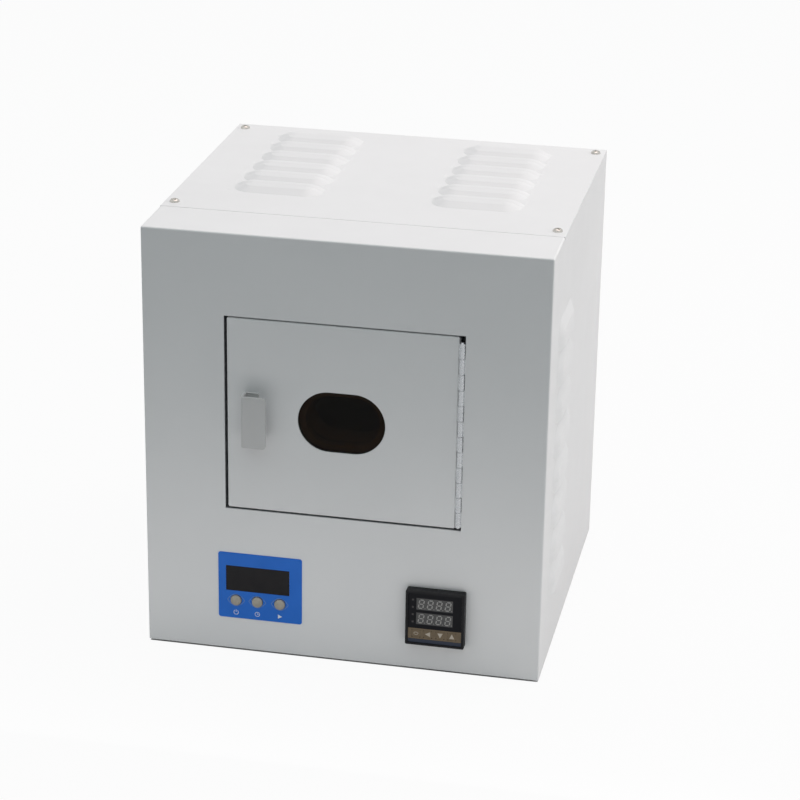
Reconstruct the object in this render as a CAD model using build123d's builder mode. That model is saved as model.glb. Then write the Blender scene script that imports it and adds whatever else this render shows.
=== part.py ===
from build123d import *
import os

# A bench furnace for firing dental porcelain: a folded sheet casing with pressed louvres, a small
# door on a piano hinge, a ceramic fibre muffle behind it and the controls below.
# Millimetres, +Z up. The front faces -Y and the origin lies under the middle of the overall box.

# Casing sheet work. The casing's outer size is the lined inner casing and the room round it.
side_room = 43.5
floor_room = 106.0
roof_room = 49.0
rear_room = 79.5
sheet = 1.2
fold_radius = 1.5
top_strip = 54.6
seam = 0.5
cover_ledge = 17.0
floor_ledge = 14.0
rear_ledge = 14.0
relief_radius = 1.0
fit = 0.15
foot_height = 2.0
foot_radius = 8.0
foot_margin = 0.5

# Pressed louvres
louvre_length = 74.0
louvre_width = 15.0
louvre_rise = 4.2
louvre_shoulder = 0.4
louvre_shoulder_rise = 0.8
top_louvre_count = 6
top_louvre_pitch = 29.1
top_louvre_spread = 163.0
top_louvre_middle = 193.5
side_louvre_count = 8
side_louvre_pitch = 30.3
side_louvre_behind = 74.0
side_louvre_middle = 170.7

# Screws of the casing
screw_radius = 2.0
screw_hole_gap = 0.2
screw_head_radius = 4.1
screw_head_height = 2.4
screw_length = 8.0
screw_crown = 0.5
screw_rim = 0.4
cover_screw_inset = 8.0
cover_screw_front = 13.8
cover_screw_rear = 12.2
rear_screw_inset = 8.0
rear_screw_end = 24.0

# Door opening and the collar behind it
opening_room_side = 19.2
opening_room_height = 15.25
collar_depth = 18.5
collar_flange = 9.0
gap_free_side = 2.3
gap_top = 1.3
gap_bottom = 1.6

# Piano hinge
knuckle_radius = 2.2
knuckle_gap = 0.3
knuckle_count = 12
hinge_proud = 0.5
hinge_low_gap = 1.8
hinge_top_gap = 4.5
hinge_slack = 0.05
pin_radius = 1.1
pin_overrun = 0.8
leaf_thickness = 0.8
leaf_depth = 12.0

# Door
pan_depth = 14.0
pan_edge = 1.2
window_width = 70.4
window_height = 50.5
sight_width = 60.0
sight_height = 41.0
glass_thickness = 3.0
glass_margin = 9.0
glass_frame_width = 6.0
plug_depth = 24.0
plug_gap = 4.0
seal_width = 8.0
seal_thickness = 3.0
seat_gap = 0.3
magnet_width = 8.0
magnet_height = 16.0
magnet_spacing = 88.0
magnet_margin = 3.0

# Door pull
pull_reach = 12.5
pull_width = 20.0
pull_height = 43.0
pull_base = 12.0
pull_sheet = 2.0
pull_bend = 2.6
pull_corner = 2.5
pull_inset = 14.0
pull_drop = 1.5
pull_screw_radius = 1.5
pull_screw_head = 3.0
pull_screw_head_height = 1.6
pull_screw_spacing = 26.0
pull_tap_depth = 1.6
pull_tap_room = 0.2

# Firing chamber
chamber_width = 120.0
chamber_height = 100.0
chamber_depth = 150.0
chamber_corner = 6.0
muffle_wall = 24.0
mouth_flare = 7.0
mouth_rim = 2.0
front_board = 23.5
rear_board = 29.0
side_board = 34.0
slab_board = 26.0
inner_sheet = 1.0
coil_radius = 3.0
coil_gap = 0.5
coil_sink = 1.0
coil_pitch = 22.0
coil_count = 4
coil_end = 6.0
tail_radius = 1.5
tail_gap = 0.4
tail_reach = 14.0
hearth_depth = 138.0
hearth_thickness = 8.0
hearth_edge = 1.0
probe_radius = 3.0
probe_gap = 0.4
probe_tip = 20.0
probe_rise = 32.0
probe_edge = 1.0
probe_head_radius = 9.0
probe_head_length = 12.0
probe_head_edge = 1.5

# Brackets that carry the inner casing
support_inset = 19.0
support_flange = 14.0
support_sheet = 1.5
support_clearance = 30.0
support_end = 17.0

# Temperature controller
controller_size = 48.0
controller_proud = 8.0
controller_inset = 84.4
controller_middle = 48.3
controller_corner = 1.2
controller_edge = 0.6
controller_rim = 2.1
controller_body = 44.6
controller_length = 78.0
controller_cutout = 45.2
controller_boss = 4.0
face_recess = 0.8
face_thickness = 1.5
digit_width = 29.9
digit_height = 10.5
digit_left = 8.8
digit_rows = (11.4, 24.25)
key_columns = (8.9, 18.6, 28.6, 38.2)
key_row = 37.75
key_width = 7.0
key_height = 6.4
key_gap = 0.3
key_travel = 0.35
key_stem = 1.6
clamp_size = 53.0
clamp_depth = 13.0

# Timer
overlay_width = 69.7
overlay_height = 58.3
overlay_inset = 94.8
overlay_middle = 56.8
overlay_thickness = 0.5
overlay_corner = 2.0
display_width = 53.0
display_height = 22.2
display_shift_x = -2.0
display_shift_z = 6.5
display_lip = 2.0
button_columns = (-20.2, -2.4, 16.4)
button_row = -13.0
button_radius = 4.4
button_gap = 0.4
button_proud = 2.0
button_edge = 0.65
button_flange = 1.2
button_flange_thickness = 1.0
button_travel = 0.5
stop_gap = 0.1
button_stem = 1.8
board_width = 66.0
board_height = 52.0
board_thickness = 1.6
board_back = 14.0
standoff_radius = 2.5
standoff_inset = 4.0
switch_size = 6.0
switch_height = 2.6

# Electrical gear on the floor and the mains inlet
heatsink_width = 80.0
heatsink_depth = 58.0
heatsink_height = 36.0
heatsink_base = 6.0
fin_thickness = 2.0
fin_count = 9
relay_width = 58.0
relay_depth = 45.0
relay_height = 26.0
relay_corner = 3.0
gear_inset = 84.5
gear_clearance = 9.0
terminal_x = 10.0
terminal_pitch = 11.0
terminal_poles = 5
terminal_depth = 22.0
terminal_height = 16.0
terminal_floor = 8.0
terminal_spine = 5.5
barrier = 1.6
inlet_inset = 57.5
inlet_middle = 44.0
inlet_width = 27.0
inlet_height = 20.0
inlet_length = 26.0
inlet_flange_width = 50.0
inlet_flange_height = 23.0
inlet_flange = 3.0
inlet_wall = 1.5
inlet_cavity = 17.5
inlet_chamfer = 4.0
inlet_screw_spacing = 40.0
inlet_screw_radius = 1.6
inlet_screw_head = 3.0
prong_width = 2.0
prong_height = 4.0
prong_length = 15.0
prong_spread = 7.0
prong_rise = 2.0

# Vents of the rear panel and the floor
vent_length = 34.0
vent_width = 4.0
vent_pitch_x = 44.0
vent_pitch_z = 10.0
rear_vent_middle = 262.0
floor_vent_front = 60.0

# Sizes and places that follow
muffle_width = chamber_width + 2 * muffle_wall
muffle_height = chamber_height + 2 * muffle_wall
lining_width = muffle_width + 2 * side_board
lining_height = muffle_height + 2 * slab_board
casing_width = lining_width + 2 * inner_sheet
casing_height = lining_height + 2 * inner_sheet
casing_depth = collar_depth + front_board + chamber_depth + rear_board + inner_sheet
body_width = casing_width + 2 * side_room
body_height = floor_room + casing_height + roof_room
body_depth = casing_depth + rear_room

mouth_width = chamber_width + 2 * mouth_flare
mouth_height = chamber_height + 2 * mouth_flare
opening_width = mouth_width + 2 * (mouth_rim + seal_width + opening_room_side)
opening_height = mouth_height + 2 * (mouth_rim + seal_width + opening_room_height)

half_width = body_width / 2
floor_z = foot_height
roof_z = floor_z + body_height
front_reach = max(pull_reach, controller_proud)
rear_reach = max(inlet_flange, screw_head_height)
front_y = front_reach - (front_reach + body_depth + rear_reach) / 2
back_y = front_y + body_depth
middle_y = (front_y + back_y) / 2
seam_y = front_y + top_strip
panel_back = front_y + sheet
inner_width = body_width - 2 * sheet

opening_z = floor_z + floor_room + casing_height / 2
opening_left = -opening_width / 2
opening_right = opening_width / 2
opening_low = opening_z - opening_height / 2
opening_top = opening_z + opening_height / 2
collar_back = front_y + collar_depth

hinge_x = opening_right - knuckle_gap - knuckle_radius
hinge_y = front_y - hinge_proud
door_left = opening_left + gap_free_side
door_right = hinge_x - knuckle_radius - knuckle_gap
door_low = opening_low + gap_bottom
door_top = opening_top - gap_top
door_x = (door_left + door_right) / 2
door_z = (door_low + door_top) / 2
door_width = door_right - door_left
door_height = door_top - door_low
pan_back = front_y + pan_depth
hinge_low = door_low + hinge_low_gap
hinge_length = door_height - hinge_low_gap - hinge_top_gap
knuckle_pitch = hinge_length / knuckle_count

muffle_front = collar_back + front_board
muffle_back = muffle_front + chamber_depth
rear_board_back = muffle_back + rear_board
casing_back = rear_board_back + inner_sheet
hearth_width = chamber_width - 2 * chamber_corner
casing_low = opening_z - casing_height / 2
base_top = floor_z + 2 * sheet


def facing(y):
    """A plane at depth y that faces the front: its own x and y are the part's X and Z."""
    return Plane(origin=(0, y, 0), x_dir=(1, 0, 0), z_dir=(0, -1, 0))


def blister(length, width, rise, below):
    """A louvre's hood along X: open edge at Y = 0, back at Y = -width, quarter-round ends."""
    straight = length - 2 * width
    shoulder = (-louvre_shoulder * width, louvre_shoulder_rise * rise)
    section = [(0, rise), (0, -below), (-width, -below), (-width, 0), shoulder]
    with BuildPart() as hood:
        for side in (1, -1):
            with BuildSketch(Plane.YZ.offset(side * straight / 2)):
                with BuildLine():
                    Polyline(section, close=True)
                make_face()
            end_axis = Axis((side * straight / 2, 0, 0), (0, 0, side))
            revolve(axis=end_axis, revolution_arc=90)
        with BuildSketch(Plane.YZ.offset(-straight / 2)):
            with BuildLine():
                Polyline(section, close=True)
            make_face()
        extrude(amount=straight)
    return hood.part


def pan_screw(head_radius, head_height, shank_radius, length):
    """A pan-head screw whose head stands on Z = 0 and whose shank points down."""
    crown_radius = screw_crown * head_radius
    shoulder = screw_rim * head_height
    with BuildPart() as screw:
        with BuildSketch(Plane.XZ):
            with BuildLine():
                Polyline(
                    (0, -length),
                    (0, head_height),
                    (crown_radius, head_height),
                    (head_radius, shoulder),
                    (head_radius, 0),
                    (shank_radius, 0),
                    (shank_radius, -length),
                    close=True,
                )
            make_face()
        revolve(axis=Axis.Z)
    return screw.part


louvre_outer = blister(louvre_length, louvre_width, louvre_rise, sheet)
louvre_inner = blister(
    louvre_length - 2 * sheet, louvre_width - sheet, louvre_rise - sheet, 2 * sheet
)
side_louvre_planes = []
for side in (1, -1):
    for row in range(side_louvre_count):
        rise = (row - (side_louvre_count - 1) / 2) * side_louvre_pitch
        louvre_place = (
            side * half_width,
            front_y + side_louvre_behind,
            floor_z + side_louvre_middle + rise,
        )
        side_louvre_planes.append(
            Plane(origin=louvre_place, x_dir=(0, -side, 0), z_dir=(side, 0, 0))
        )
top_louvre_place = (0, front_y + top_louvre_middle, roof_z)

cover_screw_x = half_width - cover_screw_inset
cover_screw_y_front = seam_y + cover_screw_front
cover_screw_y_rear = back_y - cover_screw_rear
cover_screw_points = [
    (side * cover_screw_x, y) for side in (1, -1) for y in (cover_screw_y_front, cover_screw_y_rear)
]
rear_screw_x = half_width - rear_screw_inset
rear_screw_heights = (
    floor_z + rear_screw_end,
    (floor_z + roof_z) / 2,
    roof_z - rear_screw_end,
)
rear_screw_points = [(side * rear_screw_x, z) for side in (1, -1) for z in rear_screw_heights]
screw_hole = screw_radius + screw_hole_gap

controller_x = half_width - controller_inset
controller_z = floor_z + controller_middle
overlay_x = overlay_inset - half_width
overlay_z = floor_z + overlay_middle
inlet_x = half_width - inlet_inset
inlet_z = floor_z + inlet_middle
display_x = overlay_x + display_shift_x
display_z = overlay_z + display_shift_z
button_z = overlay_z + button_row
button_xs = [overlay_x + column for column in button_columns]
button_hole = button_radius + button_gap

# Front shell: front, sides, top strip and their folded ledges in one piece
with BuildPart() as front_shell:
    with BuildSketch(Plane.XY.offset(floor_z)):
        with Locations((0, middle_y)):
            Rectangle(body_width, body_depth)
    extrude(amount=body_height)
    fillet(front_shell.edges().filter_by(Axis.Z).group_by(Axis.Y)[0], fold_radius)
    fillet(front_shell.faces().sort_by(Axis.Z)[-1].edges().sort_by(Axis.Y)[:-1], fold_radius)
    with BuildSketch(Plane.XY.offset(floor_z)):
        with Locations((0, (panel_back + back_y) / 2)):
            Rectangle(inner_width, back_y - panel_back)
    extrude(amount=body_height - sheet, mode=Mode.SUBTRACT)
    with BuildSketch(Plane.XY.offset(roof_z - sheet)):
        with Locations((0, (seam_y + back_y) / 2)):
            Rectangle(body_width, back_y - seam_y)
    extrude(amount=sheet, mode=Mode.SUBTRACT)
    with BuildSketch(facing(back_y)):
        with Locations((0, (floor_z + roof_z) / 2)):
            Rectangle(body_width, body_height)
    extrude(amount=sheet, mode=Mode.SUBTRACT)
    # Ledge under the top cover, along the seam and both sides
    with BuildSketch(Plane.XY.offset(roof_z - 2 * sheet)):
        with Locations((0, (seam_y - cover_ledge / 2 + back_y - sheet) / 2)):
            Rectangle(inner_width, back_y - sheet - seam_y + cover_ledge / 2)
        with Locations((0, (seam_y + cover_ledge + back_y) / 2)):
            Rectangle(
                inner_width - 2 * cover_ledge, back_y - seam_y - cover_ledge, mode=Mode.SUBTRACT
            )
    extrude(amount=sheet)
    # Ledges behind which the rear panel is screwed
    with BuildSketch(facing(back_y - sheet)):
        with Locations((0, (floor_z + roof_z - sheet) / 2)):
            Rectangle(inner_width, body_height - sheet)
            Rectangle(inner_width - 2 * rear_ledge, body_height - sheet, mode=Mode.SUBTRACT)
    extrude(amount=sheet)
    # Ledge under the floor, along the front and both sides
    with BuildSketch(Plane.XY.offset(floor_z)):
        with Locations((0, (panel_back + back_y - sheet) / 2)):
            Rectangle(inner_width, back_y - sheet - panel_back)
        with Locations((0, (panel_back + floor_ledge + back_y) / 2)):
            Rectangle(
                inner_width - 2 * floor_ledge, back_y - panel_back - floor_ledge, mode=Mode.SUBTRACT
            )
    extrude(amount=sheet)
    # Openings of the front
    with BuildSketch(facing(panel_back)):
        with Locations((0, opening_z)):
            Rectangle(opening_width, opening_height)
        with Locations((controller_x, controller_z)):
            Rectangle(controller_cutout, controller_cutout)
        with Locations((display_x, display_z)):
            Rectangle(display_width - 2 * display_lip, display_height - 2 * display_lip)
        with Locations([(x, button_z) for x in button_xs]):
            Circle(button_hole)
    extrude(amount=sheet, mode=Mode.SUBTRACT)
    with Locations(side_louvre_planes):
        add(louvre_outer)
    with Locations(side_louvre_planes):
        add(louvre_inner, mode=Mode.SUBTRACT)
    with BuildSketch(Plane.XY.offset(roof_z)):
        with Locations(cover_screw_points):
            Circle(screw_hole)
        with Locations([(side * half_width, seam_y) for side in (1, -1)]):
            Circle(relief_radius)
    extrude(amount=-2 * sheet, mode=Mode.SUBTRACT)
    with BuildSketch(facing(back_y - sheet)):
        with Locations(rear_screw_points):
            Circle(screw_hole)
    extrude(amount=sheet, mode=Mode.SUBTRACT)
front_shell.part.label = "front_shell"
export_step(front_shell.part, "parts/front_shell.step")

# Top cover with two groups of louvres
with BuildPart() as top_cover:
    with BuildSketch(Plane.XY.offset(roof_z - sheet)):
        with Locations((0, (seam_y + seam + back_y) / 2)):
            Rectangle(body_width, back_y - seam_y - seam)
        with Locations(cover_screw_points):
            Circle(screw_hole, mode=Mode.SUBTRACT)
    extrude(amount=sheet)
    with Locations(top_louvre_place):
        with GridLocations(top_louvre_spread, top_louvre_pitch, 2, top_louvre_count):
            add(louvre_outer)
    with Locations(top_louvre_place):
        with GridLocations(top_louvre_spread, top_louvre_pitch, 2, top_louvre_count):
            add(louvre_inner, mode=Mode.SUBTRACT)
top_cover.part.label = "top_cover"
export_step(top_cover.part, "parts/top_cover.step")

# Rear panel: a flat sheet with vents and the inlet's cut-out
with BuildPart() as rear_panel:
    with BuildSketch(facing(back_y)):
        with Locations((0, (floor_z + roof_z - sheet) / 2)):
            Rectangle(body_width, body_height - sheet)
        with Locations(rear_screw_points):
            Circle(screw_hole, mode=Mode.SUBTRACT)
        with Locations((inlet_x, inlet_z)):
            Rectangle(inlet_width + 2 * fit, inlet_height + 2 * fit, mode=Mode.SUBTRACT)
        with Locations(
            [
                (inlet_x + side * inlet_screw_spacing / 2, inlet_z)
                for side in (1, -1)
            ]
        ):
            Circle(inlet_screw_radius + screw_hole_gap, mode=Mode.SUBTRACT)
        with Locations((0, floor_z + rear_vent_middle)):
            with GridLocations(vent_pitch_x, vent_pitch_z, 4, 5):
                Rectangle(vent_length, vent_width, mode=Mode.SUBTRACT)
    extrude(amount=sheet)
rear_panel.part.label = "rear_panel"
export_step(rear_panel.part, "parts/rear_panel.step")

# Floor plate that rests on the shell's floor ledge and turns up against the rear panel
with BuildPart() as base_plate:
    base_front = panel_back + fit
    base_back = back_y - 2 * sheet
    with BuildSketch(Plane.XY.offset(floor_z + sheet)):
        with Locations((0, (base_front + base_back) / 2)):
            Rectangle(inner_width - 2 * fit, base_back - base_front)
        with Locations((0, front_y + floor_vent_front)):
            with GridLocations(vent_pitch_x, vent_pitch_z, 4, 3):
                Rectangle(vent_length, vent_width, mode=Mode.SUBTRACT)
    extrude(amount=sheet)
    with BuildSketch(facing(back_y - sheet)):
        with Locations((0, floor_z + sheet + floor_ledge / 2)):
            Rectangle(inner_width - 2 * rear_ledge - 2 * fit, floor_ledge)
    extrude(amount=sheet)
base_plate.part.label = "base_plate"
export_step(base_plate.part, "parts/base_plate.step")

# Four low pads stuck to the floor plate inside the ledge
with BuildPart() as foot_pads:
    foot_inset = sheet + floor_ledge + foot_radius + foot_margin
    with BuildSketch(Plane.XY):
        with Locations((0, middle_y)):
            with GridLocations(body_width - 2 * foot_inset, body_depth - 2 * foot_inset, 2, 2):
                Circle(foot_radius)
    extrude(amount=floor_z + sheet)
foot_pads.part.label = "foot_pads"
export_step(foot_pads.part, "parts/foot_pads.step")

casing_screw = pan_screw(screw_head_radius, screw_head_height, screw_radius, screw_length)
with BuildPart() as cover_screws:
    with Locations([(x, y, roof_z) for x, y in cover_screw_points]):
        add(casing_screw)
cover_screws.part.label = "cover_screws"
export_step(cover_screws.part, "parts/cover_screws.step")

with BuildPart() as rear_screws:
    with Locations(
        [
            Plane(origin=(x, back_y, z), x_dir=(1, 0, 0), z_dir=(0, 1, 0))
            for x, z in rear_screw_points
        ]
    ):
        add(casing_screw)
rear_screws.part.label = "rear_screws"
export_step(rear_screws.part, "parts/rear_screws.step")

# Collar behind the opening: outer flange, four walls and a face round the chamber mouth
with BuildPart() as door_frame:
    collar_width = opening_width + 2 * sheet
    collar_height = opening_height + 2 * sheet
    with BuildSketch(facing(panel_back + sheet)):
        with Locations((0, opening_z)):
            Rectangle(collar_width + 2 * collar_flange, collar_height + 2 * collar_flange)
            Rectangle(opening_width, opening_height, mode=Mode.SUBTRACT)
    extrude(amount=sheet)
    with BuildSketch(facing(collar_back)):
        with Locations((0, opening_z)):
            Rectangle(collar_width, collar_height)
            Rectangle(opening_width, opening_height, mode=Mode.SUBTRACT)
    extrude(amount=collar_back - panel_back)
    with BuildSketch(facing(collar_back)):
        with Locations((0, opening_z)):
            Rectangle(collar_width, collar_height)
            RectangleRounded(
                mouth_width + 2 * mouth_rim,
                mouth_height + 2 * mouth_rim,
                chamber_corner + mouth_rim,
                mode=Mode.SUBTRACT,
            )
    extrude(amount=sheet)
door_frame.part.label = "door_frame"
export_step(door_frame.part, "parts/door_frame.step")

magnet_thickness = seal_thickness
with BuildPart() as magnet_catch:
    with BuildSketch(facing(collar_back - sheet)):
        with Locations((door_left + magnet_margin + magnet_width / 2, opening_z)):
            with GridLocations(0, magnet_spacing, 1, 2):
                Rectangle(magnet_width, magnet_height)
    extrude(amount=magnet_thickness)
magnet_catch.part.label = "magnet_catch"
export_step(magnet_catch.part, "parts/magnet_catch.step")


def hinge_leaf(side, first):
    """One leaf of the piano hinge: side is -1 for the door's, first is its lowest knuckle."""
    leaf_edge = hinge_x + side * (knuckle_radius + knuckle_gap)
    leaf_middle = leaf_edge - side * leaf_thickness / 2
    leaf_front = hinge_y + knuckle_radius + 2 * knuckle_gap
    leaf_back = front_y + leaf_depth
    knuckle_zs = [
        hinge_low + (index + 0.5) * knuckle_pitch for index in range(first, knuckle_count, 2)
    ]
    knuckle_length = knuckle_pitch - knuckle_gap
    with BuildPart() as leaf:
        with BuildSketch(Plane.XY.offset(hinge_low)):
            with Locations((leaf_middle, (leaf_front + leaf_back) / 2)):
                Rectangle(leaf_thickness, leaf_back - leaf_front)
        extrude(amount=hinge_length)
        for z in knuckle_zs:
            with BuildSketch(Plane.XY.offset(z - knuckle_length / 2)):
                with Locations((leaf_middle, (hinge_y + leaf_front) / 2)):
                    Rectangle(leaf_thickness, leaf_front - hinge_y)
                with Locations((hinge_x, hinge_y)):
                    Circle(knuckle_radius)
                    Circle(pin_radius + hinge_slack, mode=Mode.SUBTRACT)
            extrude(amount=knuckle_length)
    return leaf.part


hinge_frame_leaf = hinge_leaf(1, 0)
hinge_frame_leaf.label = "hinge_frame_leaf"
export_step(hinge_frame_leaf, "parts/hinge_frame_leaf.step")

hinge_door_leaf = hinge_leaf(-1, 1)
hinge_door_leaf.label = "hinge_door_leaf"
export_step(hinge_door_leaf, "parts/hinge_door_leaf.step")

with BuildPart() as hinge_pin:
    with BuildSketch(Plane.XY.offset(hinge_low - pin_overrun)):
        with Locations((hinge_x, hinge_y)):
            Circle(pin_radius)
    extrude(amount=hinge_length + 2 * pin_overrun)
hinge_pin.part.label = "hinge_pin"
export_step(hinge_pin.part, "parts/hinge_pin.step")

# Door pan: a flush face with folded returns and the obround window
with BuildPart() as door_panel:
    with BuildSketch(facing(pan_back)):
        with Locations((door_x, door_z)):
            RectangleRounded(door_width, door_height, fold_radius)
    extrude(amount=pan_depth)
    fillet(door_panel.faces().sort_by(Axis.Y)[0].edges(), pan_edge)
    with BuildSketch(facing(pan_back)):
        with Locations((door_x, door_z)):
            Rectangle(door_width - 2 * sheet, door_height - 2 * sheet)
    extrude(amount=pan_depth - sheet, mode=Mode.SUBTRACT)
    pull_x = door_left + pull_inset
    pull_z = opening_z - pull_drop
    pull_screw_x = pull_x + pull_base / 2
    pull_screw_points = [
        (pull_screw_x, pull_z + side * pull_screw_spacing / 2) for side in (1, -1)
    ]
    with BuildSketch(facing(panel_back)):
        with Locations((door_x, door_z)):
            SlotOverall(window_width, window_height)
        with Locations(pull_screw_points):
            Circle(pull_screw_radius + screw_hole_gap)
    extrude(amount=sheet, mode=Mode.SUBTRACT)
door_panel.part.label = "door_panel"
export_step(door_panel.part, "parts/door_panel.step")

# Sight glass and the tray that holds it against the door face
glass_width = window_width + 2 * glass_margin
glass_height = window_height + 2 * glass_margin
glass_back = panel_back + glass_thickness
with BuildPart() as window_glass:
    with BuildSketch(facing(glass_back)):
        with Locations((door_x, door_z)):
            RectangleRounded(glass_width, glass_height, glass_margin)
    extrude(amount=glass_thickness)
window_glass.part.label = "window_glass"
export_step(window_glass.part, "parts/window_glass.step")

with BuildPart() as window_frame:
    tray_width = glass_width + 2 * fit
    tray_height = glass_height + 2 * fit
    with BuildSketch(facing(glass_back + sheet)):
        with Locations((door_x, door_z)):
            RectangleRounded(tray_width + 2 * sheet, tray_height + 2 * sheet, glass_margin + sheet)
            SlotOverall(window_width, window_height, mode=Mode.SUBTRACT)
    extrude(amount=sheet)
    with BuildSketch(facing(glass_back)):
        with Locations((door_x, door_z)):
            RectangleRounded(tray_width + 2 * sheet, tray_height + 2 * sheet, glass_margin + sheet)
            RectangleRounded(tray_width, tray_height, glass_margin, mode=Mode.SUBTRACT)
    extrude(amount=glass_thickness)
    with BuildSketch(facing(panel_back + sheet)):
        with Locations((door_x, door_z)):
            RectangleRounded(
                tray_width + 2 * glass_frame_width,
                tray_height + 2 * glass_frame_width,
                glass_margin + glass_frame_width,
            )
            RectangleRounded(tray_width, tray_height, glass_margin, mode=Mode.SUBTRACT)
    extrude(amount=sheet)
window_frame.part.label = "window_frame"
export_step(window_frame.part, "parts/window_frame.step")

# Fibre slab inside the pan, behind the glass tray
liner_width = door_width - 2 * sheet - 2 * fit
liner_height = door_height - 2 * sheet - 2 * fit
core_front = glass_back + sheet
liner_front = pan_back - sheet
with BuildPart() as door_core:
    with BuildSketch(facing(liner_front)):
        with Locations((door_x, door_z)):
            Rectangle(liner_width, liner_height)
            SlotOverall(sight_width, sight_height, mode=Mode.SUBTRACT)
    extrude(amount=liner_front - core_front)
door_core.part.label = "door_core"
export_step(door_core.part, "parts/door_core.step")

with BuildPart() as door_liner:
    with BuildSketch(facing(pan_back)):
        with Locations((door_x, door_z)):
            Rectangle(liner_width, liner_height)
            SlotOverall(sight_width, sight_height, mode=Mode.SUBTRACT)
    extrude(amount=sheet)
door_liner.part.label = "door_liner"
export_step(door_liner.part, "parts/door_liner.step")

# Tapered fibre plug that closes the chamber mouth
with BuildPart() as door_plug:
    plug_back = pan_back + plug_depth
    with BuildSketch(facing(plug_back)):
        with Locations((0, opening_z)):
            RectangleRounded(
                chamber_width - 2 * plug_gap, chamber_height - 2 * plug_gap, chamber_corner
            )
    with BuildSketch(facing(pan_back)):
        with Locations((0, opening_z)):
            RectangleRounded(
                mouth_width - 2 * plug_gap, mouth_height - 2 * plug_gap, chamber_corner
            )
    loft()
    with BuildSketch(facing(plug_back)):
        with Locations((door_x, door_z)):
            SlotOverall(sight_width, sight_height)
    extrude(amount=plug_depth, mode=Mode.SUBTRACT)
door_plug.part.label = "door_plug"
export_step(door_plug.part, "parts/door_plug.step")

with BuildPart() as door_seal:
    seal_inner_width = mouth_width + 2 * mouth_rim
    seal_inner_height = mouth_height + 2 * mouth_rim
    seal_corner = chamber_corner + mouth_rim
    with BuildSketch(facing(pan_back + seal_thickness)):
        with Locations((0, opening_z)):
            RectangleRounded(
                seal_inner_width + 2 * seal_width,
                seal_inner_height + 2 * seal_width,
                seal_corner + seal_width,
            )
            RectangleRounded(seal_inner_width, seal_inner_height, seal_corner, mode=Mode.SUBTRACT)
    extrude(amount=seal_thickness)
door_seal.part.label = "door_seal"
export_step(door_seal.part, "parts/door_seal.step")

# Pull bent from one strip: base on the door, web at the free side, finger flange in front
with BuildPart() as door_pull:
    base_front_y = front_y - pull_sheet
    flange_back_y = front_y - pull_reach + pull_sheet
    with BuildSketch(Plane.XY.offset(pull_z - pull_height / 2)):
        with Locations((pull_x + pull_width / 2, front_y - pull_reach / 2)):
            Rectangle(pull_width, pull_reach)
        with Locations(
            (pull_x + pull_sheet + pull_width / 2, (base_front_y + flange_back_y) / 2)
        ):
            Rectangle(pull_width, base_front_y - flange_back_y, mode=Mode.SUBTRACT)
        with Locations((pull_x + pull_base + pull_width / 2, base_front_y + pull_sheet / 2)):
            Rectangle(pull_width, pull_sheet, mode=Mode.SUBTRACT)
    extrude(amount=pull_height)
    fillet(door_pull.edges().filter_by(Axis.Z).group_by(Axis.X)[0].sort_by(Axis.Y)[0], pull_bend)
    fillet(door_pull.edges().filter_by(Axis.Y).group_by(Axis.X)[-1], pull_corner)
    with BuildSketch(facing(front_y)):
        with Locations(pull_screw_points):
            Circle(pull_screw_radius + fit)
    extrude(amount=pull_tap_depth, mode=Mode.SUBTRACT)
door_pull.part.label = "door_pull"
export_step(door_pull.part, "parts/door_pull.step")

pull_screw_reach = sheet + pull_tap_depth - pull_tap_room
pull_screw = pan_screw(
    pull_screw_head, pull_screw_head_height, pull_screw_radius, pull_screw_reach
)
with BuildPart() as pull_screws:
    with Locations(
        [
            Plane(origin=(x, panel_back, z), x_dir=(1, 0, 0), z_dir=(0, 1, 0))
            for x, z in pull_screw_points
        ]
    ):
        add(pull_screw)
pull_screws.part.label = "pull_screws"
export_step(pull_screws.part, "parts/pull_screws.step")

# Firing chamber: a fibre muffle with half-open grooves for the heating coils
coil_x = chamber_width / 2 + coil_sink
coil_zs = [
    opening_z + (index - (coil_count - 1) / 2) * coil_pitch for index in range(coil_count)
]
coil_points = [(side * coil_x, z) for side in (1, -1) for z in coil_zs]
with BuildPart() as muffle:
    with BuildSketch(facing(muffle_back)):
        with Locations((0, opening_z)):
            Rectangle(muffle_width, muffle_height)
            RectangleRounded(chamber_width, chamber_height, chamber_corner, mode=Mode.SUBTRACT)
        with Locations(coil_points):
            Circle(coil_radius + coil_gap, mode=Mode.SUBTRACT)
    extrude(amount=chamber_depth)
muffle.part.label = "muffle"
export_step(muffle.part, "parts/muffle.step")

with BuildPart() as heating_coils:
    with BuildSketch(facing(muffle_back - coil_end)):
        with Locations(coil_points):
            Circle(coil_radius)
    extrude(amount=chamber_depth - 2 * coil_end)
heating_coils.part.label = "heating_coils"
export_step(heating_coils.part, "parts/heating_coils.step")

# Ends of the two heating circuits, led out through the rear board
tail_points = [(side * coil_x, z) for side in (1, -1) for z in (coil_zs[0], coil_zs[-1])]
with BuildPart() as coil_tails:
    with BuildSketch(facing(casing_back + tail_reach)):
        with Locations(tail_points):
            Circle(tail_radius)
    extrude(amount=casing_back + tail_reach - muffle_back + coil_end)
coil_tails.part.label = "coil_tails"
export_step(coil_tails.part, "parts/coil_tails.step")

with BuildPart() as hearth_plate:
    chamber_floor = opening_z - chamber_height / 2
    with BuildSketch(Plane.XY.offset(chamber_floor)):
        with Locations((0, (muffle_front + muffle_back) / 2)):
            RectangleRounded(hearth_width, hearth_depth, chamber_corner)
    extrude(amount=hearth_thickness)
    chamfer(hearth_plate.faces().sort_by(Axis.Z)[-1].edges(), hearth_edge)
hearth_plate.part.label = "hearth_plate"
export_step(hearth_plate.part, "parts/hearth_plate.step")

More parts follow.
